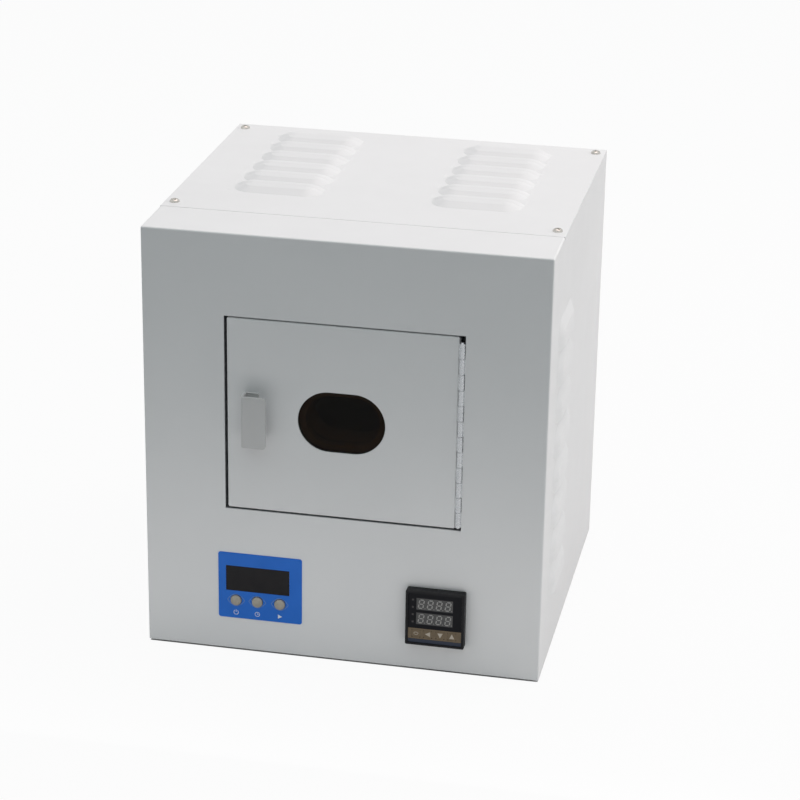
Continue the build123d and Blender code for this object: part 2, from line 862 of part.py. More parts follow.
with BuildPart() as insulation_front:
    with BuildSketch(facing(muffle_front)):
        with Locations((0, opening_z)):
            Rectangle(lining_width, lining_height)
    extrude(amount=front_board)
    with BuildSketch(facing(muffle_front)):
        with Locations((0, opening_z)):
            RectangleRounded(chamber_width, chamber_height, chamber_corner)
    with BuildSketch(facing(collar_back)):
        with Locations((0, opening_z)):
            RectangleRounded(mouth_width, mouth_height, chamber_corner)
    loft(mode=Mode.SUBTRACT)
insulation_front.part.label = "insulation_front"
export_step(insulation_front.part, "parts/insulation_front.step")

probe_z = opening_z + probe_rise
with BuildPart() as insulation_rear:
    with BuildSketch(facing(rear_board_back)):
        with Locations((0, opening_z)):
            Rectangle(lining_width, lining_height)
        with Locations(tail_points):
            Circle(tail_radius + tail_gap, mode=Mode.SUBTRACT)
        with Locations((0, probe_z)):
            Circle(probe_radius + probe_gap, mode=Mode.SUBTRACT)
    extrude(amount=rear_board)
insulation_rear.part.label = "insulation_rear"
export_step(insulation_rear.part, "parts/insulation_rear.step")

with BuildPart() as insulation_slabs:
    with BuildSketch(facing(muffle_back)):
        with Locations((0, opening_z)):
            with GridLocations(0, muffle_height + slab_board, 1, 2):
                Rectangle(lining_width, slab_board)
    extrude(amount=chamber_depth)
insulation_slabs.part.label = "insulation_slabs"
export_step(insulation_slabs.part, "parts/insulation_slabs.step")

with BuildPart() as insulation_sides:
    with BuildSketch(facing(muffle_back)):
        with Locations((0, opening_z)):
            with GridLocations(muffle_width + side_board, 0, 2, 1):
                Rectangle(side_board, muffle_height)
    extrude(amount=chamber_depth)
insulation_sides.part.label = "insulation_sides"
export_step(insulation_sides.part, "parts/insulation_sides.step")

# Inner casing round the lining: four walls and a back, open to the door frame
with BuildPart() as inner_casing:
    with BuildSketch(facing(casing_back)):
        with Locations((0, opening_z)):
            Rectangle(casing_width, casing_height)
    extrude(amount=casing_back - collar_back)
    with BuildSketch(facing(rear_board_back)):
        with Locations((0, opening_z)):
            Rectangle(lining_width, lining_height)
    extrude(amount=rear_board_back - collar_back, mode=Mode.SUBTRACT)
    with BuildSketch(facing(casing_back)):
        with Locations(tail_points):
            Circle(2 * tail_radius)
        with Locations((0, probe_z)):
            Circle(probe_radius + probe_gap)
    extrude(amount=inner_sheet, mode=Mode.SUBTRACT)
inner_casing.part.label = "inner_casing"
export_step(inner_casing.part, "parts/inner_casing.step")

with BuildPart() as thermocouple:
    with BuildSketch(facing(casing_back)):
        with Locations((0, probe_z)):
            Circle(probe_radius)
    extrude(amount=casing_back - muffle_back + probe_tip)
    chamfer(thermocouple.faces().sort_by(Axis.Y)[0].edges(), probe_edge)
thermocouple.part.label = "thermocouple"
export_step(thermocouple.part, "parts/thermocouple.step")

with BuildPart() as thermocouple_head:
    with BuildSketch(facing(casing_back + probe_head_length)):
        with Locations((0, probe_z)):
            Circle(probe_head_radius)
    extrude(amount=probe_head_length)
    chamfer(thermocouple_head.faces().sort_by(Axis.Y)[-1].edges(), probe_head_edge)
thermocouple_head.part.label = "thermocouple_head"
export_step(thermocouple_head.part, "parts/thermocouple_head.step")


def support(depth):
    """A channel bracket across the floor, its web at depth behind the front, open to the rear."""
    web_y = front_y + depth
    width = casing_width - 2 * support_inset
    height = casing_low - base_top
    with BuildPart() as bracket:
        with BuildSketch(Plane.YZ.offset(-width / 2)):
            with Locations((web_y + support_flange / 2, (base_top + casing_low) / 2)):
                Rectangle(support_flange, height)
            with Locations(
                (web_y + support_sheet + support_flange / 2, (base_top + casing_low) / 2)
            ):
                Rectangle(support_flange, height - 2 * support_sheet, mode=Mode.SUBTRACT)
        extrude(amount=width)
    return bracket.part


front_support = support(controller_length + support_clearance)
front_support.label = "front_support"
export_step(front_support, "parts/front_support.step")

rear_support = support(casing_depth - support_end)
rear_support.label = "rear_support"
export_step(rear_support, "parts/rear_support.step")

# Temperature controller: bezel, face with two display windows, four keys, body and clamp
bezel_front = front_y - controller_proud
face_front = bezel_front + face_recess
face_back = face_front + face_thickness
face_size = controller_size - 2 * controller_rim
controller_left = controller_x - controller_size / 2
controller_top = controller_z + controller_size / 2
key_points = [(controller_left + column, controller_top - key_row) for column in key_columns]
digit_points = [
    (controller_left + digit_left + digit_width / 2, controller_top - row) for row in digit_rows
]
with BuildPart() as controller_bezel:
    with BuildSketch(facing(front_y)):
        with Locations((controller_x, controller_z)):
            RectangleRounded(controller_size, controller_size, controller_corner)
            Rectangle(face_size, face_size, mode=Mode.SUBTRACT)
    extrude(amount=controller_proud)
    bezel_face = controller_bezel.faces().sort_by(Axis.Y)[0]
    chamfer(bezel_face.outer_wire().edges(), controller_edge)
controller_bezel.part.label = "controller_bezel"
export_step(controller_bezel.part, "parts/controller_bezel.step")

with BuildPart() as controller_face:
    with BuildSketch(facing(face_back)):
        with Locations((controller_x, controller_z)):
            Rectangle(face_size - 2 * fit, face_size - 2 * fit)
        with Locations(digit_points):
            Rectangle(digit_width, digit_height, mode=Mode.SUBTRACT)
        with Locations(key_points):
            Rectangle(key_width + 2 * key_gap, key_height + 2 * key_gap, mode=Mode.SUBTRACT)
    extrude(amount=face_thickness)
controller_face.part.label = "controller_face"
export_step(controller_face.part, "parts/controller_face.step")

with BuildPart() as controller_windows:
    with BuildSketch(facing(face_back)):
        with Locations(digit_points):
            Rectangle(digit_width - 2 * fit, digit_height - 2 * fit)
    extrude(amount=face_thickness)
controller_windows.part.label = "controller_windows"
export_step(controller_windows.part, "parts/controller_windows.step")

with BuildPart() as controller_case:
    with BuildSketch(facing(front_y + controller_length)):
        with Locations((controller_x, controller_z)):
            Rectangle(controller_body, controller_body)
    extrude(amount=controller_length)
    with BuildSketch(facing(front_y)):
        with Locations((controller_x, controller_z)):
            Rectangle(face_size - 2 * fit, face_size - 2 * fit)
    extrude(amount=controller_boss)
controller_case.part.label = "controller_case"
export_step(controller_case.part, "parts/controller_case.step")

with BuildPart() as controller_clamp:
    with BuildSketch(facing(panel_back + clamp_depth)):
        with Locations((controller_x, controller_z)):
            RectangleRounded(clamp_size, clamp_size, controller_corner)
            Rectangle(
                controller_body + 2 * fit, controller_body + 2 * fit, mode=Mode.SUBTRACT
            )
    extrude(amount=clamp_depth)
controller_clamp.part.label = "controller_clamp"
export_step(controller_clamp.part, "parts/controller_clamp.step")


def controller_key(place):
    """A soft key flush with the controller's face, on a stem just short of its switch."""
    stem_back = front_y - controller_boss - key_travel - stop_gap
    with BuildPart() as key:
        with BuildSketch(facing(face_back)):
            with Locations(place):
                RectangleRounded(key_width, key_height, controller_corner)
        extrude(amount=face_thickness)
        with BuildSketch(facing(stem_back)):
            with Locations(place):
                Circle(key_stem)
        extrude(amount=stem_back - face_back)
    return key.part


for key_name, key_place in zip(("set", "shift", "down", "up"), key_points):
    key_part = controller_key(key_place)
    key_part.label = f"key_{key_name}"
    export_step(key_part, f"parts/key_{key_name}.step")

# Timer: printed overlay, dark window, display, board on standoffs and three push buttons
with BuildPart() as timer_overlay:
    with BuildSketch(facing(front_y)):
        with Locations((overlay_x, overlay_z)):
            RectangleRounded(overlay_width, overlay_height, overlay_corner)
        with Locations((display_x, display_z)):
            Rectangle(display_width, display_height, mode=Mode.SUBTRACT)
        with Locations([(x, button_z) for x in button_xs]):
            Circle(button_hole, mode=Mode.SUBTRACT)
    extrude(amount=overlay_thickness)
timer_overlay.part.label = "timer_overlay"
export_step(timer_overlay.part, "parts/timer_overlay.step")

with BuildPart() as timer_window:
    with BuildSketch(facing(front_y)):
        with Locations((display_x, display_z)):
            Rectangle(display_width - 2 * fit, display_height - 2 * fit)
    extrude(amount=overlay_thickness)
timer_window.part.label = "timer_window"
export_step(timer_window.part, "parts/timer_window.step")

board_front = front_y + board_back - board_thickness
with BuildPart() as timer_display:
    display_pocket_width = display_width - 2 * display_lip - 2 * fit
    display_pocket_height = display_height - 2 * display_lip - 2 * fit
    with BuildSketch(facing(board_front)):
        with Locations((display_x, display_z)):
            Rectangle(display_pocket_width, display_pocket_height)
    extrude(amount=board_front - front_y - fit)
timer_display.part.label = "timer_display"
export_step(timer_display.part, "parts/timer_display.step")

with BuildPart() as timer_board:
    with BuildSketch(facing(front_y + board_back)):
        with Locations((overlay_x, overlay_z)):
            Rectangle(board_width, board_height)
    extrude(amount=board_thickness)
timer_board.part.label = "timer_board"
export_step(timer_board.part, "parts/timer_board.step")

with BuildPart() as timer_standoffs:
    standoff_spread = board_width - 2 * standoff_inset
    standoff_rise = board_height - 2 * standoff_inset
    with BuildSketch(facing(board_front)):
        with Locations((overlay_x, overlay_z)):
            with GridLocations(standoff_spread, standoff_rise, 2, 2):
                Circle(standoff_radius)
    extrude(amount=board_front - panel_back)
timer_standoffs.part.label = "timer_standoffs"
export_step(timer_standoffs.part, "parts/timer_standoffs.step")

with BuildPart() as timer_switches:
    with BuildSketch(facing(board_front)):
        with Locations([(x, button_z) for x in button_xs]):
            Rectangle(switch_size, switch_size)
    extrude(amount=switch_height)
timer_switches.part.label = "timer_switches"
export_step(timer_switches.part, "parts/timer_switches.step")


def push_button(x):
    """A domed cap through the front, with a flange behind the sheet and a stem to its switch."""
    flange_front = panel_back + seat_gap
    flange_back = flange_front + button_flange_thickness
    cap_front = front_y - overlay_thickness - button_proud
    stem_back = board_front - switch_height - button_travel - stop_gap
    with BuildPart() as button:
        with BuildSketch(facing(flange_back)):
            with Locations((x, button_z)):
                Circle(button_radius)
        extrude(amount=flange_back - cap_front)
        chamfer(button.faces().sort_by(Axis.Y)[0].edges(), button_edge)
        with BuildSketch(facing(flange_back)):
            with Locations((x, button_z)):
                Circle(button_hole + button_flange)
        extrude(amount=button_flange_thickness)
        with BuildSketch(facing(stem_back)):
            with Locations((x, button_z)):
                Circle(button_stem)
        extrude(amount=stem_back - flange_back)
    return button.part


for button_name, button_x in zip(("power", "time", "start"), button_xs):
    button_part = push_button(button_x)
    button_part.label = f"button_{button_name}"
    export_step(button_part, f"parts/button_{button_name}.step")

# Solid state relay on its heatsink, behind the inner casing
gear_x = gear_inset - half_width
gear_y = back_y - sheet - gear_clearance - heatsink_depth / 2
with BuildPart() as heatsink:
    with BuildSketch(facing(gear_y + heatsink_depth / 2)):
        with Locations((gear_x, base_top + heatsink_height - heatsink_base / 2)):
            Rectangle(heatsink_width, heatsink_base)
        with Locations((gear_x, base_top + (heatsink_height - heatsink_base) / 2)):
            fin_pitch = (heatsink_width - fin_thickness) / (fin_count - 1)
            with GridLocations(fin_pitch, 0, fin_count, 1):
                Rectangle(fin_thickness, heatsink_height - heatsink_base)
    extrude(amount=heatsink_depth)
heatsink.part.label = "heatsink"
export_step(heatsink.part, "parts/heatsink.step")

with BuildPart() as relay:
    with BuildSketch(Plane.XY.offset(base_top + heatsink_height)):
        with Locations((gear_x, gear_y)):
            Rectangle(relay_width, relay_depth)
    extrude(amount=relay_height)
    fillet(relay.edges().filter_by(Axis.Z), relay_corner)
relay.part.label = "relay"
export_step(relay.part, "parts/relay.step")

# Terminal block: a stepped moulding with barriers between its poles
with BuildPart() as terminal_block:
    terminal_width = terminal_poles * terminal_pitch + barrier
    with BuildSketch(Plane.XY.offset(base_top)):
        with Locations((terminal_x, gear_y)):
            Rectangle(terminal_width, terminal_depth)
    extrude(amount=terminal_floor)
    with BuildSketch(Plane.XY.offset(base_top + terminal_floor)):
        with Locations((terminal_x, gear_y)):
            with GridLocations(terminal_pitch, 0, terminal_poles + 1, 1):
                Rectangle(barrier, terminal_depth)
            Rectangle(terminal_width, terminal_spine)
    extrude(amount=terminal_height - terminal_floor)
terminal_block.part.label = "terminal_block"
export_step(terminal_block.part, "parts/terminal_block.step")

# Mains inlet in the rear panel, with three prongs in its shaped recess
inlet_place = (inlet_x, inlet_z)
with BuildPart() as power_inlet:
    with BuildSketch(facing(back_y)):
        with Locations(inlet_place):
            Rectangle(inlet_width, inlet_height)
    extrude(amount=inlet_length)
    with BuildSketch(facing(back_y + inlet_flange)):
        with Locations(inlet_place):
            RectangleRounded(inlet_flange_width, inlet_flange_height, fold_radius)
    extrude(amount=inlet_flange)
    with BuildSketch(facing(back_y + inlet_flange)) as recess:
        with Locations(inlet_place):
            Rectangle(inlet_width - 2 * inlet_wall, inlet_height - 2 * inlet_wall)
        chamfer(recess.vertices().group_by(Axis.Z)[-1], inlet_chamfer)
    extrude(amount=inlet_cavity, mode=Mode.SUBTRACT)
    with Locations(
        [
            Plane(
                origin=(inlet_x + side * inlet_screw_spacing / 2, back_y + inlet_flange, inlet_z),
                x_dir=(1, 0, 0),
                z_dir=(0, 1, 0),
            )
            for side in (1, -1)
        ]
    ):
        CounterSinkHole(inlet_screw_radius + screw_hole_gap, inlet_screw_head + screw_hole_gap)
power_inlet.part.label = "power_inlet"
export_step(power_inlet.part, "parts/power_inlet.step")

with BuildPart() as inlet_prongs:
    prong_points = [
        (inlet_x, inlet_z + prong_rise),
        (inlet_x - prong_spread, inlet_z - prong_rise),
        (inlet_x + prong_spread, inlet_z - prong_rise),
    ]
    with BuildSketch(facing(back_y + inlet_flange - inlet_cavity + prong_length)):
        with Locations(prong_points):
            Rectangle(prong_width, prong_height)
    extrude(amount=prong_length)
inlet_prongs.part.label = "inlet_prongs"
export_step(inlet_prongs.part, "parts/inlet_prongs.step")

with BuildPart() as inlet_screws:
    for side in (1, -1):
        screw_y = back_y + inlet_flange
        screw_place = (inlet_x + side * inlet_screw_spacing / 2, inlet_z)
        with BuildSketch(facing(screw_y)):
            with Locations(screw_place):
                Circle(inlet_screw_radius)
        extrude(amount=screw_length)
        with BuildSketch(facing(screw_y)):
            with Locations(screw_place):
                Circle(inlet_screw_head)
        extrude(amount=inlet_screw_head - inlet_screw_radius, taper=45)
inlet_screws.part.label = "inlet_screws"
export_step(inlet_screws.part, "parts/inlet_screws.step")
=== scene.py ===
"""Looks of a bench furnace for firing dental porcelain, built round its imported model.

Lengths are metres in the model's own frame: +Z up, the front faces -Y. Sizes that belong to one
sub-assembly are fields of its class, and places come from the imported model's nodes.
"""

import logging
from dataclasses import dataclass, field
from enum import Enum

import bmesh
import bpy
import numpy as np
from mathutils import Matrix, Vector

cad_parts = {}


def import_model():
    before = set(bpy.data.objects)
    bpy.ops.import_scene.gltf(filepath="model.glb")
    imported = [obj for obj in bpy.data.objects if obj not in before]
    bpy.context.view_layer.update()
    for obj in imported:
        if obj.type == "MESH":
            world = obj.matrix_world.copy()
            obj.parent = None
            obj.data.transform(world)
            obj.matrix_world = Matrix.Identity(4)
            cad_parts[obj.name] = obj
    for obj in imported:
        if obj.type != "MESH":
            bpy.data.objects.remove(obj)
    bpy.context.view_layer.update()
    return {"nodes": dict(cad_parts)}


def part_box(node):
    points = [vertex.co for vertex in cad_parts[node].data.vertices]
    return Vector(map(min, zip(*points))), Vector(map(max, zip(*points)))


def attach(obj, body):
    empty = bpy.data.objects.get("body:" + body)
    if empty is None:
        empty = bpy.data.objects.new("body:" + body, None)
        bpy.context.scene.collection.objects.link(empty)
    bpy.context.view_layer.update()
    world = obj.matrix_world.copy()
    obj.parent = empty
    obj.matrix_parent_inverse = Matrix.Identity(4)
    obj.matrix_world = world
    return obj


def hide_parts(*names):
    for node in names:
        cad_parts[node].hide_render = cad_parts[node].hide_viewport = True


MM = 0.001
LOG = logging.getLogger("furnace")
ARC_STEP = 9
ARC_LEAST = 6

Colour = tuple[float, float, float]


class Body(Enum):
    """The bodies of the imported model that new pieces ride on."""

    CASING = "casing"
    BUTTON_POWER = "button_power"
    BUTTON_TIME = "button_time"
    BUTTON_START = "button_start"
    KEY_SET = "key_set"
    KEY_SHIFT = "key_shift"
    KEY_DOWN = "key_down"
    KEY_UP = "key_up"


KEYS = (Body.KEY_SET, Body.KEY_SHIFT, Body.KEY_DOWN, Body.KEY_UP)


class Grain(Enum):
    """Kinds of fine surface relief that a finish can have."""

    ORANGE_PEEL = "orange_peel"
    SPECKLE = "speckle"
    ROLLED = "rolled"
    SPANGLE = "spangle"
    FIBRE = "fibre"


# Finishes


def linear(red: int, green: int, blue: int) -> Colour:
    """Turn an 8-bit sRGB colour into linear light.

    Args:
        red: Red, 0 to 255.
        green: Green, 0 to 255.
        blue: Blue, 0 to 255.

    Returns:
        The three channels as linear values from 0 to 1.
    """
    channels = np.array([red, green, blue]) / 255
    low = channels / 12.92
    high = ((channels + 0.055) / 1.055) ** 2.4
    return tuple(float(c) for c in np.where(channels <= 0.04045, low, high))


class Shader:
    """A material under construction, with short calls for the nodes that finishes need."""

    def __init__(self, name: str) -> None:
        """Start a material with one Principled shader.

        Args:
            name: Name of the material.
        """
        self.material = bpy.data.materials.new(name)
        self.material.use_nodes = True
        self.tree = self.material.node_tree
        self.principled = self.tree.nodes["Principled BSDF"]
        self.coordinates = self.tree.nodes.new("ShaderNodeTexCoord").outputs["Object"]

    def set(self, **values: object) -> None:
        """Set sockets of the Principled shader; an underscore stands for a space.

        Args:
            **values: Socket names and their values.
        """
        for socket, value in values.items():
            if isinstance(value, tuple):
                value = (*value, 1.0)
            self.principled.inputs[socket.replace("_", " ")].default_value = value

    def feed(self, socket: str, output: bpy.types.NodeSocket) -> None:
        """Link an output to a socket of the Principled shader.

        Args:
            socket: Name of the socket.
            output: What it is fed with.
        """
        self.tree.links.new(output, self.principled.inputs[socket])

    def stretched(self, scale: Colour) -> bpy.types.NodeSocket:
        """Object coordinates stretched along each axis.

        Args:
            scale: Factor for X, Y and Z.

        Returns:
            The stretched coordinates.
        """
        mapping = self.tree.nodes.new("ShaderNodeMapping")
        mapping.inputs["Scale"].default_value = scale
        self.tree.links.new(self.coordinates, mapping.inputs["Vector"])
        return mapping.outputs["Vector"]

    def noise(
        self,
        size: float,
        detail: float = 2.0,
        vector: bpy.types.NodeSocket | None = None,
        roughness: float = 0.5,
    ) -> bpy.types.NodeSocket:
        """Smooth noise whose lumps are about a given size.

        Args:
            size: Size of a lump in metres.
            detail: Octaves of finer noise.
            vector: Coordinates, or None for Object coordinates.
            roughness: How strong the finer octaves are.

        Returns:
            The noise value.
        """
        node = self.tree.nodes.new("ShaderNodeTexNoise")
        node.inputs["Scale"].default_value = 1 / size
        node.inputs["Detail"].default_value = detail
        node.inputs["Roughness"].default_value = roughness
        self.tree.links.new(vector or self.coordinates, node.inputs["Vector"])
        return node.outputs["Fac"]

    def between(
        self, value: bpy.types.NodeSocket, low: float, high: float, spread: float = 0.2
    ) -> bpy.types.NodeSocket:
        """Map noise round one half onto a range.

        Args:
            value: The noise.
            low: Result at the noise's low end.
            high: Result at its high end.
            spread: How far from one half the ends lie.

        Returns:
            The mapped value.
        """
        node = self.tree.nodes.new("ShaderNodeMapRange")
        node.inputs["From Min"].default_value = 0.5 - spread
        node.inputs["From Max"].default_value = 0.5 + spread
        node.inputs["To Min"].default_value = low
        node.inputs["To Max"].default_value = high
        self.tree.links.new(value, node.inputs["Value"])
        return node.outputs["Result"]

    def cells(self, size: float) -> bpy.types.NodeSocket:
        """Cells like zinc spangles, each with its own value.

        Args:
            size: Size of a cell in metres.

        Returns:
            A value from 0 to 1 that is the same over each cell.
        """
        node = self.tree.nodes.new("ShaderNodeTexVoronoi")
        node.inputs["Scale"].default_value = 1 / size
        self.tree.links.new(self.coordinates, node.inputs["Vector"])
        split = self.tree.nodes.new("ShaderNodeSeparateColor")
        self.tree.links.new(node.outputs["Color"], split.inputs["Color"])
        return split.outputs["Red"]

    def blend(
        self, factor: bpy.types.NodeSocket, first: Colour, second: Colour
    ) -> bpy.types.NodeSocket:
        """A colour between two others.

        Args:
            factor: 0 gives the first colour and 1 the second.
            first: Linear colour.
            second: Linear colour.

        Returns:
            The blended colour.
        """
        node = self.tree.nodes.new("ShaderNodeMix")
        node.data_type = "RGBA"
        colours = [socket for socket in node.inputs if socket.type == "RGBA"]
        colours[0].default_value = (*first, 1.0)
        colours[1].default_value = (*second, 1.0)
        self.tree.links.new(factor, node.inputs[0])
        return next(socket for socket in node.outputs if socket.type == "RGBA")

    def relief(self, height: bpy.types.NodeSocket, depth: float) -> bpy.types.NodeSocket:
        """Bend the surface normal by a height.

        Args:
            height: Height from 0 to 1.
            depth: Metres from the lowest to the highest point.

        Returns:
            The bent normal.
        """
        node = self.tree.nodes.new("ShaderNodeBump")
        node.inputs["Strength"].default_value = 1.0
        node.inputs["Distance"].default_value = depth
        self.tree.links.new(height, node.inputs["Height"])
        return node.outputs["Normal"]


@dataclass(frozen=True)
class Lay:
    """How a grain's noise is drawn out along X, Y and Z, and how fine and rough it gets."""

    stretch: Colour
    octaves: float
    roughness: float


LAYS = {
    Grain.ORANGE_PEEL: Lay((1.0, 1.0, 1.0), 1.0, 0.5),
    Grain.SPECKLE: Lay((1.0, 1.0, 1.0), 4.0, 0.65),
    Grain.SPANGLE: Lay((1.0, 1.0, 1.0), 4.0, 0.65),
    Grain.ROLLED: Lay((1.0, 1.0, 0.08), 3.0, 0.5),
    Grain.FIBRE: Lay((1.0, 0.25, 1.0), 6.0, 0.7),
}


@dataclass(frozen=True)
class Finish:
    """An opaque finish: a colour that drifts, a roughness that varies and a fine relief."""

    name: str
    slot: str
    colour: Colour
    worn: Colour
    roughness: tuple[float, float]
    grain: Grain
    grain_size: float
    grain_depth: float
    drift_size: float = 60 * MM
    metallic: float = 0.0
    specular: float = 0.5
    drift_octaves: float = 3.0
    patch_octaves: float = 4.0
    patch_share: float = 0.2

    def height(self, shader: Shader) -> bpy.types.NodeSocket:
        """The relief's height, from the kind of grain.

        Args:
            shader: The material being built.

        Returns:
            Height from 0 to 1.
        """
        lay = LAYS[self.grain]
        drawn = shader.stretched(lay.stretch)
        return shader.noise(self.grain_size, lay.octaves, drawn, lay.roughness)

    def material(self) -> bpy.types.Material:
        """Build the material.

        Returns:
            The new material.
        """
        shader = Shader(self.name)
        drift = shader.between(shader.noise(self.drift_size, self.drift_octaves), 0.0, 1.0)
        patches = shader.noise(self.drift_size * self.patch_share, self.patch_octaves)
        if self.grain is Grain.SPANGLE:
            drift = patches = shader.cells(self.grain_size)
        shader.feed("Base Color", shader.blend(drift, self.colour, self.worn))
        shader.feed("Roughness", shader.between(patches, *self.roughness))
        shader.set(Metallic=self.metallic, Specular_IOR_Level=self.specular)
        shader.feed("Normal", shader.relief(self.height(shader), self.grain_depth))
        return shader.material


@dataclass(frozen=True)
class Glass:
    """Tinted heat-proof glass that still lets the chamber show faintly."""

    name: str
    slot: str
    tint: Colour
    roughness: tuple[float, float] = (0.03, 0.09)
    bending: float = 1.22
    smear_size: float = 18 * MM
    smear_octaves: float = 4.0

    def material(self) -> bpy.types.Material:
        """Build the material.

        Returns:
            The new material.
        """
        shader = Shader(self.name)
        shader.set(Base_Color=self.tint, Transmission_Weight=1.0, IOR=self.bending)
        smears = shader.noise(self.smear_size, self.smear_octaves)
        shader.feed("Roughness", shader.between(smears, *self.roughness))
        return shader.material


POWDER_COAT = Finish(
    "white powder coat", "casing_paint", (0.79, 0.79, 0.79), (0.77, 0.77, 0.77),
    (0.40, 0.52), Grain.ORANGE_PEEL, 1.1 * MM, 0.020 * MM, drift_size=120 * MM,
)
DOOR_COAT = Finish(
    "door powder coat", "door_paint", (0.79, 0.79, 0.79), (0.77, 0.77, 0.77),
    (0.38, 0.50), Grain.ORANGE_PEEL, 1.1 * MM, 0.020 * MM, drift_size=90 * MM,
)
PULL_COAT = Finish(
    "pull powder coat", "pull_paint", (0.61, 0.605, 0.60), (0.59, 0.585, 0.58),
    (0.32, 0.44), Grain.ORANGE_PEEL, 1.2 * MM, 0.020 * MM, drift_size=30 * MM,
)
HINGE_ZINC = Finish(
    "bright zinc", "hinge_zinc", linear(228, 230, 232), linear(220, 222, 225),
    (0.24, 0.30), Grain.ROLLED, 0.8 * MM, 0.001 * MM, drift_size=8 * MM, metallic=1.0,
)
INNER_STEEL = Finish(
    "galvanised sheet", "inner_steel", linear(178, 181, 183), linear(160, 163, 167),
    (0.36, 0.50), Grain.SPANGLE, 5 * MM, 0.008 * MM, drift_size=14 * MM, metallic=0.9,
)
SCREW_NICKEL = Finish(
    "nickelled steel", "screw_steel", linear(205, 203, 198), linear(170, 168, 162),
    (0.16, 0.34), Grain.SPECKLE, 0.9 * MM, 0.006 * MM, drift_size=2 * MM, metallic=1.0,
)
FOOT_RUBBER = Finish(
    "pad rubber", "foot_rubber", linear(34, 34, 35), linear(48, 47, 46),
    (0.70, 0.90), Grain.SPECKLE, 0.5 * MM, 0.03 * MM, drift_size=6 * MM,
)
FIBRE_BOARD = Finish(
    "ceramic fibre board", "fibre_board", linear(238, 233, 222), linear(228, 216, 196),
    (0.92, 1.0), Grain.FIBRE, 2.2 * MM, 0.35 * MM, drift_size=26 * MM, specular=0.15,
)
FIBRE_SEAL = Finish(
    "ceramic fibre seal", "fibre_seal", linear(232, 226, 214), linear(206, 194, 174),
    (0.92, 1.0), Grain.FIBRE, 1.2 * MM, 0.30 * MM, drift_size=14 * MM, specular=0.15,
)
HEARTH_CERAMIC = Finish(
    "fired hearth ceramic", "hearth_ceramic", linear(226, 215, 195), linear(206, 190, 166),
    (0.62, 0.85), Grain.SPECKLE, 0.9 * MM, 0.06 * MM, drift_size=20 * MM,
)
COIL_WIRE = Finish(
    "oxidised resistance wire", "coil_wire", linear(92, 88, 86), linear(66, 60, 58),
    (0.45, 0.70), Grain.SPECKLE, 0.5 * MM, 0.02 * MM, drift_size=5 * MM, metallic=0.7,
)
PROBE_CERAMIC = Finish(
    "probe ceramic", "probe_ceramic", linear(232, 224, 206), linear(214, 200, 176),
    (0.35, 0.55), Grain.SPECKLE, 0.4 * MM, 0.01 * MM, drift_size=10 * MM,
)
MAGNET_STEEL = Finish(
    "magnet plate", "magnet", linear(120, 122, 126), linear(98, 100, 104),
    (0.30, 0.48), Grain.SPECKLE, 0.8 * MM, 0.01 * MM, drift_size=5 * MM, metallic=0.9,
)
CONTROLLER_MOULDING = Finish(
    "black moulded housing", "controller_black", linear(24, 24, 27), linear(19, 19, 21),
    (0.42, 0.58), Grain.SPECKLE, 0.35 * MM, 0.018 * MM, drift_size=14 * MM, specular=0.25,
)
CONTROLLER_FILM = Finish(
    "black face film", "controller_face", linear(22, 22, 26), linear(18, 18, 22),
    (0.30, 0.42), Grain.SPECKLE, 0.25 * MM, 0.008 * MM, drift_size=10 * MM, specular=0.15,
)
DISPLAY_WINDOW = Finish(
    "smoked display window", "controller_window", linear(92, 91, 91), linear(86, 85, 85),
    (0.16, 0.24), Grain.SPECKLE, 0.6 * MM, 0.002 * MM, drift_size=8 * MM, specular=0.2,
)
KEY_FILM = Finish(
    "brown key film", "key_film", linear(112, 96, 74), linear(104, 89, 68),
    (0.38, 0.50), Grain.SPECKLE, 0.3 * MM, 0.010 * MM, drift_size=6 * MM,
)
TIMER_FILM = Finish(
    "blue timer film", "timer_film", linear(44, 113, 210), linear(40, 108, 203),
    (0.34, 0.46), Grain.SPECKLE, 0.28 * MM, 0.008 * MM, drift_size=20 * MM, specular=0.2,
)
TIMER_WINDOW = Finish(
    "black timer window", "timer_window", linear(39, 37, 38), linear(34, 33, 35),
    (0.10, 0.18), Grain.SPECKLE, 0.8 * MM, 0.001 * MM, drift_size=14 * MM, specular=0.15,
)
BUTTON_GREY = Finish(
    "grey button cap", "button_grey", linear(168, 163, 152), linear(158, 153, 142),
    (0.30, 0.42), Grain.SPECKLE, 0.3 * MM, 0.008 * MM, drift_size=4 * MM,
)
CIRCUIT_BOARD = Finish(
    "green circuit board", "circuit_board", linear(28, 92, 58), linear(22, 78, 48),
    (0.28, 0.42), Grain.SPECKLE, 1.2 * MM, 0.01 * MM, drift_size=9 * MM,
)
COMPONENT_BLACK = Finish(
    "black component plastic", "component_black", linear(36, 36, 37), linear(30, 30, 31),
    (0.46, 0.62), Grain.SPECKLE, 0.4 * MM, 0.02 * MM, drift_size=12 * MM,
)
HEATSINK_METAL = Finish(
    "extruded aluminium", "heatsink_aluminium", linear(196, 198, 201), linear(178, 180, 184),
    (0.28, 0.42), Grain.ROLLED, 0.7 * MM, 0.010 * MM, drift_size=16 * MM, metallic=1.0,
)
RELAY_CASE = Finish(
    "relay case", "relay_case", linear(220, 217, 206), linear(206, 202, 190),
    (0.42, 0.56), Grain.SPECKLE, 0.5 * MM, 0.012 * MM, drift_size=16 * MM,
)
PRONG_BRASS = Finish(
    "nickelled brass", "prong_brass", linear(206, 196, 164), linear(188, 174, 136),
    (0.20, 0.36), Grain.ROLLED, 0.5 * MM, 0.006 * MM, drift_size=3 * MM, metallic=1.0,
)
WINDOW_GLASS = Glass("amber sight glass", "window_glass", linear(96, 79, 58))

